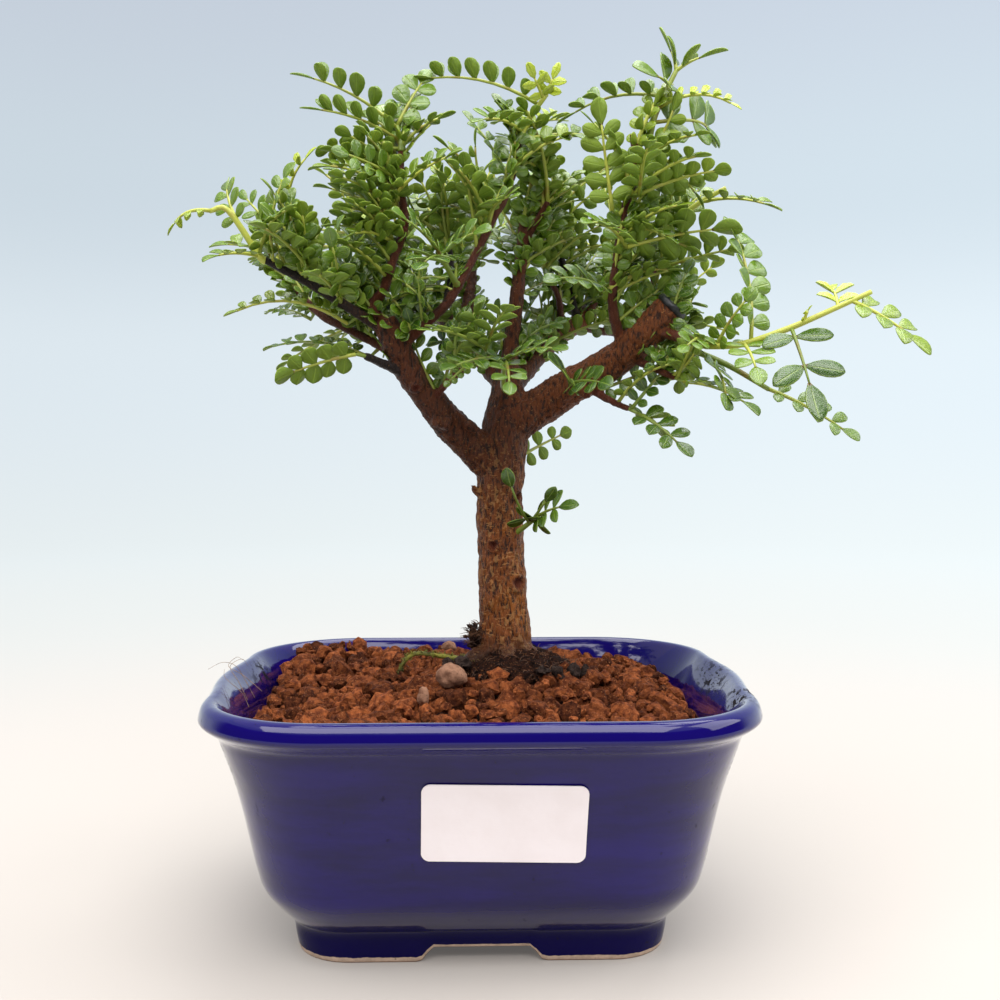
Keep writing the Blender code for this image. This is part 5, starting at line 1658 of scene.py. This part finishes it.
@dataclass
class CompoundLeaf:
    """A leaf: a rib that arches from base to tip, pairs of leaflets and one at the end."""

    base: Vector
    tip: Vector
    facing: Vector
    form: LeafForm = LeafForm.OVAL
    tint: float = 0.4
    roll: float = 0.0
    arch: float = 0.10
    rise: float = 18.0  # degrees that its leaflets stand up from its plane
    spread: float = 66.0  # degrees between its middle leaflets and its rib
    pairs: int = 0
    size: float = 1.0
    pair_room: float = 4.3
    reach: float = 1.32  # a leaflet's length over the distance between pairs
    longest: float = 7.4
    petiole: float = 0.12
    rib_radius: float = 0.45

    def rib(self, share: float) -> Vector:
        """A point of the rib."""
        bend = 4 * self.arch * share * (1 - share) * self.length
        return self.base + (self.tip - self.base) * share + self.face * bend

    def build(self, bm: Shape, stock: LeafletStock, draw: random.Random) -> None:
        """Adds the leaf to a spray.

        Args:
            bm: The spray.
            stock: The leaflets.
            draw: The seeded random numbers.
        """
        self.length = (self.tip - self.base).length
        heading = (self.tip - self.base) / self.length
        self.face = (self.facing - heading * self.facing.dot(heading)).normalized()
        self.face.rotate(Quaternion(heading, self.roll))
        pairs = self.pairs or max(2, min(7, round((self.length - 4.0) / self.pair_room)))
        free = self.length * (1 - self.petiole)
        longest = self.size * min(self.longest, self.reach * free / (pairs - 0.45 + self.reach))
        end = 1 - longest / self.length
        step = (end - self.petiole) / (pairs - 0.45)
        for k in range(pairs):
            share = self.petiole + step * k
            length = longest * (0.80 + 0.22 * math.sin(math.pi * (k + 0.7) / (pairs + 0.4)))
            spread = self.spread + 9.0 - 18.0 * k / pairs
            for side in (-1, 1):
                self.leaflet(bm, stock, draw, share + draw.uniform(-0.008, 0.008), side,
                             length * draw.uniform(0.94, 1.06), spread)
        self.leaflet(bm, stock, draw, end, 0, longest * 1.04, 0.0)
        self.add_rib(bm, end)

    def leaflet(self, bm: Shape, stock: LeafletStock, draw: random.Random, share: float,
                side: int, length: float, spread: float) -> None:
        """Adds one leaflet to the right (-1), to the left (1) or at the end (0) of the rib."""
        here = self.rib(share)
        ahead = (self.rib(min(1.0, share + 0.05)) - self.rib(share - 0.05)).normalized()
        face = (self.face - ahead * self.face.dot(ahead)).normalized()
        left = face.cross(ahead)
        rise = math.radians((self.rise if side else 0.0) + draw.uniform(-6, 6))
        turn = math.radians(spread + (draw.uniform(-4, 4) if side else draw.uniform(-8, 8)))
        across = left * (side * math.cos(rise)) + face * math.sin(rise)
        up = face * math.cos(rise) - left * (side * math.sin(rise))
        out = (ahead * math.cos(turn) + across * math.sin(turn)).normalized()
        up = (up - out * up.dot(out)).normalized()
        up.rotate(Quaternion(out, math.radians(draw.uniform(-8, 8))))
        matrix = Matrix.Translation(here) @ Matrix((out, up.cross(out), up)).transposed().to_4x4()
        tint = min(1.0, max(0.0, self.tint + draw.gauss(0, 0.03)))
        add_copy(bm, stock.pick(self.form, draw), matrix @ Matrix.Scale(length, 4), tint)

    def add_rib(self, bm: Shape, end: float) -> None:
        """Adds the winged rib, thinner towards the tip."""
        steps = 7
        path = [self.rib(end * 1.02 * k / steps) for k in range(steps + 1)]
        radii = [self.rib_radius * (1.15 - 0.60 * k / steps) for k in range(steps + 1)]
        add_stem(bm, path, radii, 5, self.tint + 0.15)


def add_stem(bm: Shape, path: Sequence[Vector], radii: Sequence[float], sides: int, tint: float) -> None:
    """Adds a green stem or rib to a spray, in material 2.

    Args:
        bm: The spray.
        path: The stem's middle line.
        radii: Its radii.
        sides: Its sides.
        tint: Its tint.
    """
    own = bmesh.new()
    own.loops.layers.uv.new("blade")
    extrude_rings(own, tube_rings(path, radii, sides))
    bmesh.ops.recalc_face_normals(own, faces=own.faces)
    for face in own.faces:
        face.material_index = 2
    own.verts.layers.int.remove(own.verts.layers.int["station"])
    mesh = template_mesh("stem", own)
    add_copy(bm, mesh, Matrix.Identity(4), tint)
    bpy.data.meshes.remove(mesh)


ROUND, OVAL, SLENDER, YOUNG = LeafForm
UP = (0.0, -0.3, 1.0)
TOWARD = (0.0, -1.0, 0.25)
AWAY = (0.0, 0.75, 0.65)
BACK = (0.0, 1.0, 0.1)


@dataclass(frozen=True)
class Leaf:
    """A listed leaf: its share along its stem, its tip, where its upper side faces and its looks."""

    share: float
    tip: Point
    facing: Point = UP
    rise: float = 16.0
    form: LeafForm | None = None
    tint: float | None = None
    pairs: int = 0
    arch: float = 0.08
    size: float = 1.0
    spread: float = 66.0


@dataclass(frozen=True)
class Spray:
    """A leafy stem: the limb that it grows from and where, its leaves and its path."""

    limb: str
    share: float
    leaves: tuple[Leaf, ...]
    path: tuple = ()
    tint: float = 0.36
    form: LeafForm = LeafForm.OVAL
    extra: int = 2  # further leaves round its foot
    stem_tint: float = 0.35


SPRAYS: dict[str, Spray] = {
    "top_left_spray": Spray("high_left_twig", 1.0, (
        Leaf(0.9, (-45, -12, 205), rise=62, pairs=5, size=1.05),
        Leaf(1.0, (-12, -2, 209), TOWARD, 8, ROUND, pairs=3),
        Leaf(0.4, (-42, -18, 195), (0, -0.2, 1), 60, SLENDER, pairs=5, spread=46, size=1.1),
        Leaf(0.1, (-39, -14, 186), AWAY, 6, ROUND, 0.38, 5, size=0.9)), ((-20, -8, 194),), 0.50, extra=5),
    "green_stub_left": Spray("high_left_twig", 0.84, (Leaf(0.1, (-34, -25, 184), TOWARD, 20),),
                             ((-23, -13, 189),),
                             0.4, stem_tint=0.6),
    "upper_left_spray": Spray("high_left_twig", 0.7, (
        Leaf(1.0, (-39, 6, 187), (-0.5, 0.2, 0.8), 20),
        Leaf(1.0, (-4, -24, 184), (0, -0.6, 0.8), 25, tint=0.58)),
        extra=5),
    "left_middle_spray": Spray("high_left_twig", 0.5, (
        Leaf(1.0, (-31, -30, 172), (-0.3, -0.8, 0.6), 20), Leaf(1.0, (-35, -8, 173), rise=30)), extra=4),
    "far_left_shoot": Spray("far_left_twig", 1.0, (
        Leaf(1.0, (-71, -23, 164), (-0.5, -0.2, 0.8), -25, YOUNG, 0.74, 3, 0.24, 1.0),
        Leaf(0.55, (-60, -12, 180), (-0.6, -0.5, 0.6), 12, tint=0.6, pairs=3),
        Leaf(0.1, (-62, -30, 158), rise=12)),
        ((-57.8, -22, 170.8), (-62, -22, 170.6)), 0.58, OVAL, 1, 0.9),
    "left_front_spray": Spray("far_left_twig", 0.72, (
        Leaf(1.0, (-50, -38, 165), (-0.2, -0.5, 0.9), 18), Leaf(1.0, (-46, -22, 176), TOWARD, 22)), extra=4),
    "left_mid_spray": Spray("far_left_twig", 0.45, (Leaf(1.0, (-38, -36, 155), rise=12),)),
    "left_low_leaf": Spray("far_left_twig", 0.3, (
        Leaf(1.0, (-61, -14, 147), (0.2, -0.35, 1), 26, OVAL, 0.66, 7, 0.17, 0.9),), (), 0.5, OVAL, 0),
    "left_young_shoot": Spray("left_red_twig", 1.0, (
        Leaf(1.0, (-40, 1, 191), (-0.5, -0.4, 0.8), 40, YOUNG, 0.9, 4, 0.14),
        Leaf(0.3, (-69, 9, 168), rise=20),
        Leaf(0.6, (-62, 14, 183), (-0.3, -0.9, 0.3), 16, SLENDER, 0.5)),
        ((-50, 6, 168), (-48, 4, 176)), 0.62, OVAL, 1, 0.9),
    "left_red_spray": Spray("left_red_twig", 0.62,
                            (Leaf(1.0, (-56, 17, 152), (-0.3, -0.3, 0.9), 12, pairs=6),)),
    "left_under_leaf": Spray("left_red_twig", 0.12, (
        Leaf(1.0, (-54, 0, 141), (0, -0.5, 1), 10, OVAL, 0.45, 6, 0.1),), (), 0.42, OVAL, 1),
    "left_stub_spray": Spray("left_stub", 1.0, (
        Leaf(1.0, (-47, -26, 132), AWAY, 4, ROUND, 0.5, 4, 0.05, 1.1),), (), 0.45, ROUND, 1),
    "low_front_spray": Spray("low_front_twig", 1.0, (
        Leaf(1.0, (6, -42, 147), rise=18), Leaf(1.0, (-14, -38, 142)),
        Leaf(0.2, (-8.5, -26, 130.5), TOWARD, 6, ROUND, 0.3, 5, size=0.8)), (), 0.28),
    "front_rosette": Spray("trunk", 0.925, (
        Leaf(1.0, (-9, -36, 133), (0, -0.6, 0.9), 10, tint=0.22),
        Leaf(1.0, (19, -36, 138), (0, -0.6, 0.9), 14),
        Leaf(1.0, (6, -40, 128), (0, -1, 0.5), 10, tint=0.3)), ((5.5, -8, 132), (5.5, -22, 137)), 0.27,
                           OVAL, 2),
    "front_facing_spray": Spray("front_red_twig", 0.33, (
        Leaf(1.0, (-14, -42, 154), (-0.1, -1, 0.5), 6, tint=0.18, pairs=3),
        Leaf(1.0, (2, -38, 164), (0.1, -1, 0.7), 12, tint=0.3),
        Leaf(0.8, (-20, -36, 168), (-0.2, -0.8, 0.8), 15)),
        ((-9, -24, 160),), 0.26),
    "front_mid_spray": Spray("front_red_twig", 0.6, (
        Leaf(1.0, (8, -34, 172), (0, -0.8, 0.7), 20),
        Leaf(1.0, (-8, -30, 181), (-0.2, -0.5, 0.9), 25, tint=0.5))),
    "top_centre_shoot": Spray("front_red_twig", 1.0, (
        Leaf(0.75, (-17, -3, 206), rise=64, tint=0.52, pairs=6, arch=0.10),
        Leaf(1.0, (19, -10, 208.5), (0, -1, 0.4), 20, YOUNG, 1.0, 2, size=1.3),
        Leaf(0.9, (11, -12, 208), (-0.2, -1, 0.4), 20, YOUNG, 0.92, 2, size=1.1),
        Leaf(0.1, (-2, -26, 190), (-0.2, -0.6, 0.8), 25)), ((12.5, -8, 197), (16, -9, 201.5)), 0.55, OVAL,
                              2, 0.9),
    "top_back_spray": Spray("front_red_twig", 0.88, (Leaf(1.0, (8, 14, 198), AWAY, 12),)),
    "top_right_shoot": Spray("right_high_twig", 0.86, (
        Leaf(1.0, (42, -8, 217.0), (0.9, -0.3, 0.3), 8, SLENDER, 0.50, 1, 0.1, 0.95, 30),
        Leaf(1.0, (59, -13, 210), (-0.1, -0.1, 1.0), 20, SLENDER, 0.56, 1, 0.1, 0.95, 34),
        Leaf(0.85, (35, -16, 205), (-0.2, -0.8, 0.5), 20, OVAL, 0.50, 1, 0.1, 1.1),
        Leaf(0.72, (19, -1, 196), (-0.2, -0.15, 1), 34, SLENDER, 0.42, 5, 0.12, 1.1),
        Leaf(0.6, (62, -15, 196), (0.3, -0.5, 0.8), 30, YOUNG, 0.92, 6, 0.18),
        Leaf(0.45, (57, 8, 194), (0.3, -0.9, 0.2), 14, ROUND, 0.5, 3, 0.25)),
        ((41, -13, 194), (44, -12, 201), (47, -11, 207)), 0.48, OVAL, 1, 0.5),
    "upright_leaf": Spray("right_high_twig", 0.62,
                          (Leaf(1.0, (27, -22, 197), BACK, 4, OVAL, 0.66, 5, 0.03, 1.2),),
                          (), 0.5, OVAL, 1),
    "right_upper_spray": Spray("right_high_twig", 0.72, (
        Leaf(1.0, (58, -22, 181), AWAY, 8, ROUND, 0.58, 5), Leaf(1.0, (37, -36, 184), BACK, 10)), (), 0.48),
    "right_middle_spray": Spray("right_high_twig", 0.48, (
        Leaf(1.0, (60, -25, 167), AWAY, 10, OVAL, 0.55, 4, 0.06, 1.1),
        Leaf(1.0, (22, -36, 166), (0, -0.7, 0.8), 15)), (), 0.42),
    "right_lower_spray": Spray("right_high_twig", 0.3,
                               (Leaf(1.0, (14, -30, 154), (0, -0.8, 0.7), 12, tint=0.2),)),
    "green_stub_right": Spray("right_mid_twig", 1.0, (
        Leaf(0.6, (72, -14, 173), (0, -0.15, 1), 16, SLENDER, 0.6, 4), Leaf(0.3, (60, 16, 186), AWAY, 12)),
        ((55, 1, 178), (61, -2, 181)), 0.45, OVAL, 2, 0.8),
    "right_outer_shoot": Spray("right_stub", 1.0, (
        Leaf(0.9, (98, -40, 137), (0.2, -0.7, 0.8), 8, OVAL, 0.66, 3, 0.05, 1.05),
        Leaf(0.82, (80, -24, 154), rise=20, form=YOUNG, tint=0.9, pairs=2),
        Leaf(0.55, (72, -45, 122), (0, -1, 0.3), 8, SLENDER, 0.16, 2, 0.05, 1.25),
        Leaf(0.32, (58, -16, 171), (0.5, -0.7, 0.3), 22, ROUND, 0.5, 6, 0.08),
        Leaf(0.28, (59, -46, 130), (0, -0.6, 0.9), 12),
        Leaf(0.1, (61, -34, 152), (0, -0.8, 0.6), 12, ROUND, 0.5, 4),
        Leaf(0.62, (73, -36, 148), rise=20, form=YOUNG, tint=0.95, pairs=2)),
        ((59, -30, 140), (68, -33, 143), (75, -35, 146), (86, -36, 151)), 0.58, OVAL, 0, 1.0),
    "right_hanging_spray": Spray("right_stub", 0.45, (
        Leaf(1.0, (85, -32, 118), (0, -0.6, 0.9), 12, OVAL, 0.45, 4, 0.05, 0.85),
        Leaf(0.35, (54, -36, 125), AWAY, 8, ROUND, 0.5)), ((57, -22, 136), (66, -26, 130)), 0.48),
    "right_low_spray": Spray("right_low_twig", 1.0, (Leaf(1.0, (62, -34, 124), rise=10, tint=0.45),)),
    "right_back_spray": Spray("right_back_twig", 1.0, (
        Leaf(1.0, (72, 6, 142), rise=14), Leaf(1.0, (54, 22, 131), AWAY, 10))),
    "right_front_rosette": Spray("right_limb", 0.42, (
        Leaf(1.0, (15, -19, 137), (0, -0.9, 0.6), 8, ROUND, 0.14, 2),
        Leaf(1.0, (30, -25, 131), TOWARD, 8, ROUND, 0.16)),
        (), 0.2, ROUND, 1),
    "under_right_spray": Spray("right_under_twig", 1.0, (
        Leaf(1.0, (49, -22, 114), (0.3, -0.8, 0.6), 10, tint=0.24), Leaf(1.0, (47, 2, 119), rise=14)), (),
                               0.28),
    "trunk_sprout": Spray("trunk", 0.55, (
        Leaf(1.0, (23.5, -15, 103), (0.5, -0.8, 0.35), 6, SLENDER, 0.30, 3, 0.10, 1.2),
        Leaf(0.8, (6, -15, 112), (-0.3, -0.8, 0.4), 20, OVAL, 0.14, 1, 0.12, 0.7),
        Leaf(0.9, (18, -16, 107.5), (0.2, -0.9, 0.4), 10, SLENDER, 0.22, 1, 0.1, 0.75)),
        ((13.5, -4, 99),), 0.3, OVAL, 0),
    "trunk_back_leaf": Spray("trunk", 0.76, (
        Leaf(1.0, (25, 20, 121.5), BACK, 2, ROUND, 0.50, 3, size=0.72),), (), 0.4, ROUND, 0),
}
TUFTS: tuple = (
    ("middle_limb", 0.75, 1), ("middle_fork", 1.0, 2), ("black_twig", 1.0, 2), ("inner_twig", 0.8, 1),
    ("back_left_limb", 1.0, 2), ("back_black_twig", 1.0, 2), ("back_inner_twig", 1.0, 1),
    ("back_low_left_twig", 1.0, 3), ("back_high_left_twig", 1.0, 3), ("back_middle_twig", 1.0, 3),
    ("back_high_right_twig", 1.0, 3), ("back_low_right_twig", 1.0, 3), ("back_low_left_twig", 0.5, 1),
    ("back_low_right_twig", 0.5, 1), ("back_black_twig", 0.55, 1), ("right_mid_twig", 0.6, 1),
)


def along_line(points: Sequence[Vector], share: float) -> tuple[Vector, Vector]:
    """The place at a share of a line's length, and the line's direction there."""
    lengths = [(b - a).length for a, b in zip(points, points[1:])]
    left = share * sum(lengths)
    for i, length in enumerate(lengths):
        if left <= length or i == len(lengths) - 1:
            step = points[i + 1] - points[i]
            return points[i] + step * min(1.0, left / length), step.normalized()
        left -= length
    raise ValueError("a line needs two points")


@dataclass
class Foliage:
    """All leaves: the listed sprays, tufts at twig ends, and further leaves that fill the crown."""

    seed: int = 11
    crown_centre: Point = (5, 4, 148)
    stem_radius: float = 0.62
    spur: float = 3.0
    tuft_leaf: tuple[float, float] = (17.0, 25.0)
    tuft_spread: float = math.radians(48)
    fill_leaf: tuple[float, float] = (15.0, 24.0)
    fill_longest: float = 5.5
    fill_room: float = 3.7  # between the pairs of a filling leaf
    fill_step: float = 3.7  # along a twig, from one group of filling leaves to the next
    fill_tries: int = 24  # for each leaf that is wanted
    fill_arch: tuple[float, float] = (0.03, 0.16)
    fill_rise: tuple[float, float] = (4, 42)
    lean: float = 0.75  # how far filling leaves point away from the crown's centre line
    scatter: float = 0.34  # of the sides that leaves face
    outward_share: float = 0.5
    skyward: Point = (0, -0.12, 0.85)
    # The filling leaves' tint by place is partly leaf age and partly painted shade low and deep in the crown
    # and painted light high and outside.
    darkest: float = 0.12
    tint_by_height: float = 0.0040
    tint_from_centre: float = 0.0034
    tint_scatter: float = 0.10
    bare_middle: float = 8.0  # round the crown's centre
    half_depth: float = 52.0  # how far leaves reach to the front and back
    twig_room: float = 4.2  # beside the bark of a twig that shows, as the viewer sees it
    outline: tuple = (
        (-53, 160), (-67, 165), (-67, 170), (-58, 184), (-44, 192), (-36, 201), (-18, 208), (10, 208),
        (36, 205), (50, 208), (58, 196), (58, 184), (64, 176), (57, 160), (58, 148), (51, 137), (36, 148),
        (16, 141), (0, 138), (-14, 139), (-28, 145))
    shown: tuple = ("left_limb", "right_limb", "middle_limb", "middle_fork", "front_red_twig", "black_twig",
                    "high_left_twig", "far_left_twig", "left_red_twig", "right_high_twig", "low_front_twig")
    dense: tuple = ("middle_limb", "middle_fork")  # these carry one more leaf in each group

    def __post_init__(self) -> None:
        """Starts the random numbers and the leaflets."""
        self.draw = random.Random(self.seed)
        self.stock = LeafletStock()
        self.open = []
        for name in self.shown:
            for first, last in zip(LIMBS[name], LIMBS[name][1:]):
                start, end = Vector(first[:3]), Vector(last[:3])
                self.open.append((self.seen(start), self.seen(end), start.y, end.y, max(first[3], last[3])))

    @staticmethod
    def seen(place: Vector) -> Vector:
        """Where the viewer sees a place, on the plane through the pot's middle: x and height."""
        eye = Vector(Studio.eye)
        return (eye + (place - eye) * (-eye.y / (place.y - eye.y))).xz

    def hides_twig(self, base: Vector, tip: Vector) -> bool:
        """Whether a leaf passes in front of a twig that shows."""
        for share in (0.4, 0.6, 0.8, 1.0):
            place = base.lerp(tip, share)
            spot = self.seen(place)
            for start, end, start_y, end_y, radius in self.open:
                along = end - start
                part = min(1.0, max(0.0, (spot - start).dot(along) / along.length_squared))
                near = (spot - start - along * part).length < radius + self.twig_room
                if near and place.y < start_y + (end_y - start_y) * part - 1.0:
                    return True
        return False

    def limb_place(self, name: str, share: float) -> tuple[Vector, Vector, float]:
        """The middle, direction and radius of a limb at a share of its length."""
        knots = LIMBS[name]
        centre, direction = along_line([Vector(k[:3]) for k in knots], share)
        near = min(knots, key=lambda k: (Vector(k[:3]) - centre).length)
        return centre, direction, near[3]

    def stem_path(self, spray: Spray) -> list[Vector]:
        """The spray's stem, which starts inside the bark."""
        centre, along, radius = self.limb_place(spray.limb, spray.share)
        tips = [Vector(leaf.tip) for leaf in spray.leaves]
        aim = Vector(spray.path[0]) if spray.path else sum(tips, Vector()) / len(tips)
        if spray.share == 1.0:
            out = along
            start = centre - along * 0.4
        else:
            out = aim - centre
            out = (out - along * out.dot(along)).normalized()
            start = centre + out * (radius * 0.7)
        toward = (out * 1.4 + (aim - start).normalized() * 0.6).normalized()
        if spray.path:
            return [start, start + toward * 1.8] + [Vector(p) for p in spray.path]
        return [start, start + toward * self.spur]

    def facing_at(self, place: Vector) -> Vector:
        """Where a leaf's upper side faces: up and out of the crown, with some scatter."""
        outward = (place - Vector(self.crown_centre)).normalized()
        scatter = Vector([self.draw.gauss(0, self.scatter) for _ in range(3)])
        return (self.outward_share * outward + Vector(self.skyward) + scatter).normalized()

    def tint_at(self, place: Vector) -> float:
        """A leaf's tint: darker low and inside, yellower high and outside, partly by the leaves' age and
        partly as painted shade deep in the crown and painted light at its top and outside.
        """
        away = (place - Vector(self.crown_centre)).length
        light = self.tint_by_height * max(0.0, place.z - 130) + self.tint_from_centre * away
        return self.darkest + light + self.draw.gauss(0, self.tint_scatter)

    def in_crown(self, tip: Vector) -> bool:
        """Whether a tip is inside the crown's outline as the viewer sees it."""
        x, z = self.seen(tip)
        inside = False
        for (x1, z1), (x2, z2) in zip(self.outline, self.outline[1:] + self.outline[:1]):
            if (z1 > z) != (z2 > z) and x < x1 + (z - z1) / (z2 - z1) * (x2 - x1):
                inside = not inside
        return inside

    def free_leaf(self, bm: Shape, base: Vector, tip: Vector, form: LeafForm) -> None:
        """Adds a leaf whose looks follow from its place."""
        CompoundLeaf(base, tip, self.facing_at(tip), form, self.tint_at(tip),
                     arch=self.draw.uniform(*self.fill_arch), rise=self.draw.uniform(*self.fill_rise),
                     pair_room=self.fill_room, longest=self.fill_longest).build(bm, self.stock, self.draw)

    def extra_leaves(self, bm: Shape, start: Vector, count: int, form: LeafForm) -> None:
        """Adds leaves round a place, aimed out of the crown and kept inside its outline."""
        outward = (start - Vector(self.crown_centre)).normalized()
        made = 0
        for _ in range(count * self.fill_tries):
            if made == count:
                return
            lean = Vector([self.draw.gauss(0, self.lean) for _ in range(3)])
            heading = (outward + lean + Vector((0, 0, 0.25))).normalized()
            tip = start + heading * self.draw.uniform(*self.fill_leaf)
            if self.in_crown(tip) and abs(tip.y) < self.half_depth and not self.hides_twig(start, tip):
                self.free_leaf(bm, start, tip, form)
                made += 1

    def finish(self, name: str, bm: Shape, replaced: Iterable[str], young: bool = False) -> None:
        """Finishes a spray as a piece."""
        finish_piece(name, bm, [UPPER, UNDER, STEM], replaced)

    def build_spray(self, name: str, spray: Spray) -> None:
        """Makes one of the listed sprays."""
        bm = bmesh.new()
        line = smooth_line(self.stem_path(spray), 4)
        thick = self.stem_radius * (1.5 if spray.path else 0.8)
        radii = [thick * (1 - 0.4 * k / (len(line) - 1)) for k in range(len(line))]
        add_stem(bm, line, radii, 8, spray.stem_tint)
        for leaf in spray.leaves:
            base, _ = along_line(line, leaf.share * 0.985)
            CompoundLeaf(base, Vector(leaf.tip), Vector(leaf.facing), leaf.form or spray.form,
                         spray.tint if leaf.tint is None else leaf.tint,
                         math.radians(self.draw.uniform(-7, 7)), leaf.arch, leaf.rise, leaf.spread,
                         leaf.pairs, leaf.size).build(bm, self.stock, self.draw)
        self.extra_leaves(bm, line[len(line) // 3], spray.extra, spray.form)
        self.finish(f"{name}_leaves", bm, [name], spray.stem_tint > 0.7)

    def build_tuft(self, number: int, limb: str, share: float, count: int) -> None:
        """Makes a tuft of leaves on a twig."""
        centre, along, _ = self.limb_place(limb, share)
        outward = (centre - Vector(self.crown_centre)).normalized()
        axis = (outward + 0.5 * along + Vector((0, 0, 0.25))).normalized()
        across = axis.orthogonal().normalized()
        first = self.draw.uniform(0, 2 * math.pi)
        bm = bmesh.new()
        for k in range(count + 2):
            heading = across.copy()
            heading.rotate(Quaternion(axis, first + 2 * math.pi * k / (count + 2)))
            heading = axis * math.cos(self.tuft_spread) + heading * math.sin(self.tuft_spread)
            tip = centre + heading * (self.spur + self.draw.uniform(*self.tuft_leaf))
            if k < 2 or not self.hides_twig(centre, tip):
                self.free_leaf(bm, centre, tip, OVAL)
        self.finish(f"tuft_leaves_{number:02d}", bm, [f"tuft_{number:02d}"])

    def build_fill(self) -> None:
        """Makes the further leaves along each twig, one piece a twig."""
        for limb, knots in LIMBS.items():
            if limb in ("trunk", "left_limb", "right_limb"):
                continue
            points = [Vector(k[:3]) for k in knots]
            length = sum((b - a).length for a, b in zip(points, points[1:]))
            bm = bmesh.new()
            for k in range(1, int(length / self.fill_step) + 1):
                place, _ = along_line(points, min(1.0, k * self.fill_step / length))
                if (place - Vector(self.crown_centre)).length > self.bare_middle:
                    self.extra_leaves(bm, place, 1 + (k % 2) + (limb in self.dense), OVAL)
            if bm.verts:
                self.finish(f"{limb}_leaves", bm, [])
            else:
                bm.free()

    def build(self) -> None:
        """Makes all the foliage."""
        for name, spray in SPRAYS.items():
            self.build_spray(name, spray)
        for number, (limb, share, count) in enumerate(TUFTS, 1):
            self.build_tuft(number, limb, share, count)
        self.build_fill()


# Studio


@dataclass
class Studio:
    """Floor, light and the camera at the photograph's angle."""

    eye: Point = (-3.24, -294.1, 116.2)
    yaw: float = 0.028
    pitch: float = 0.043
    lens: float = 42.2
    sensor: float = 36.0
    floor_radius: float = 1.1
    cove: float = 0.7
    wall: float = 1.6
    cove_steps: int = 12
    floor_sides: int = 96
    sky: float = 0.75
    # Each lamp's name, place and size in metres, watts and colour.
    lamps: tuple = (("key", (-0.20, -0.65, 1.20), (2.0, 1.1), 35.0, (1.0, 0.97, 0.95)),
                    ("top", (0.15, 0.35, 1.35), (1.1, 1.1), 17.0, (0.99, 0.99, 1.0)),
                    ("side", (1.0, -0.1, 0.75), (0.8, 0.8), 7.0, (1.0, 0.98, 0.97)))

    def build_camera(self) -> None:
        """Makes the camera."""
        camera = bpy.data.cameras.new("viewer")
        camera.lens = self.lens
        camera.sensor_width = self.sensor
        camera.clip_start = 0.01
        holder = new_object("viewer", camera)
        ahead = Vector((math.sin(self.yaw) * math.cos(self.pitch), math.cos(self.yaw) * math.cos(self.pitch),
                        -math.sin(self.pitch)))
        turn = ahead.to_track_quat("-Z", "Y").to_matrix().to_4x4()
        holder.matrix_world = Matrix.Translation(Vector(self.eye) * MM + SHIFT) @ turn
        bpy.context.scene.camera = holder

    def build_floor(self) -> None:
        """Makes the round floor with its coved wall."""
        bm = bmesh.new()
        profile = [(0.0, 0.0), (self.floor_radius, 0.0)]
        for step in range(1, self.cove_steps + 1):
            turn = math.pi / 2 * step / self.cove_steps
            profile.append((self.floor_radius + self.cove * math.sin(turn), self.cove * (1 - math.cos(turn))))
        profile.append((self.floor_radius + self.cove, self.wall))
        verts = [bm.verts.new((r, 0, z)) for r, z in profile]
        edges = [bm.edges.new(pair) for pair in zip(verts, verts[1:])]
        bmesh.ops.spin(bm, geom=verts + edges, cent=(0, 0, 0), axis=(0, 0, 1), angle=2 * math.pi,
                       steps=self.floor_sides,
                       use_merge=True)
        bmesh.ops.remove_doubles(bm, verts=bm.verts, dist=0.0001)
        bmesh.ops.translate(bm, vec=(SHIFT.x, SHIFT.y, 0), verts=bm.verts)
        bmesh.ops.recalc_face_normals(bm, faces=bm.faces)
        bmesh.ops.reverse_faces(bm, faces=bm.faces)
        mesh = new_mesh("studio_floor", bm)
        mesh.shade_smooth()
        mesh.materials.append(StudioFinish().material())
        mesh.materials[0].cycles.emission_sampling = "NONE"  # its even glow needs no samples of its own
        new_object("studio_floor", mesh)

    def build_light(self) -> None:
        """Makes the soft lights and the even light all round."""
        for name, place, size, power, colour in self.lamps:
            light = bpy.data.lights.new(name, "AREA")
            light.shape = "RECTANGLE"
            light.size, light.size_y = size
            light.energy = power
            light.color = colour
            holder = new_object(name, light)
            aim = SHIFT + Vector((0, 0, 0.1)) - Vector(place)
            turn = aim.to_track_quat("-Z", "Y").to_matrix().to_4x4()
            holder.matrix_world = Matrix.Translation(place) @ turn
        world = bpy.data.worlds.new("studio")
        world.use_nodes = True
        sky = world.node_tree.nodes["Background"]
        sky.inputs["Color"].default_value = (0.97, 0.98, 1.0, 1)
        sky.inputs["Strength"].default_value = self.sky
        bpy.context.scene.world = world

    def build(self) -> None:
        """Makes the studio."""
        self.build_camera()
        self.build_floor()
        self.build_light()
        bpy.context.scene.view_settings.view_transform = "Standard"


def main() -> None:
    """Builds the whole scene."""
    logging.basicConfig(level=logging.INFO, format="%(name)s: %(message)s")
    Studio().build()
    pot = Pot()
    pot.build()
    DrainScreens().build(pot)
    PaperLabel().build(pot)
    soil = Soil()
    soil.build_granules(pot)
    soil.build_bed(pot)
    soil.build_pebbles()
    ball = RootBall()
    ball.build_mound()
    ball.build_roots()
    ball.build_moss()
    DryFibres().build()
    Wood().build()
    WoundPaste().build()
    Foliage().build()


if __name__ == "__main__":
    main()
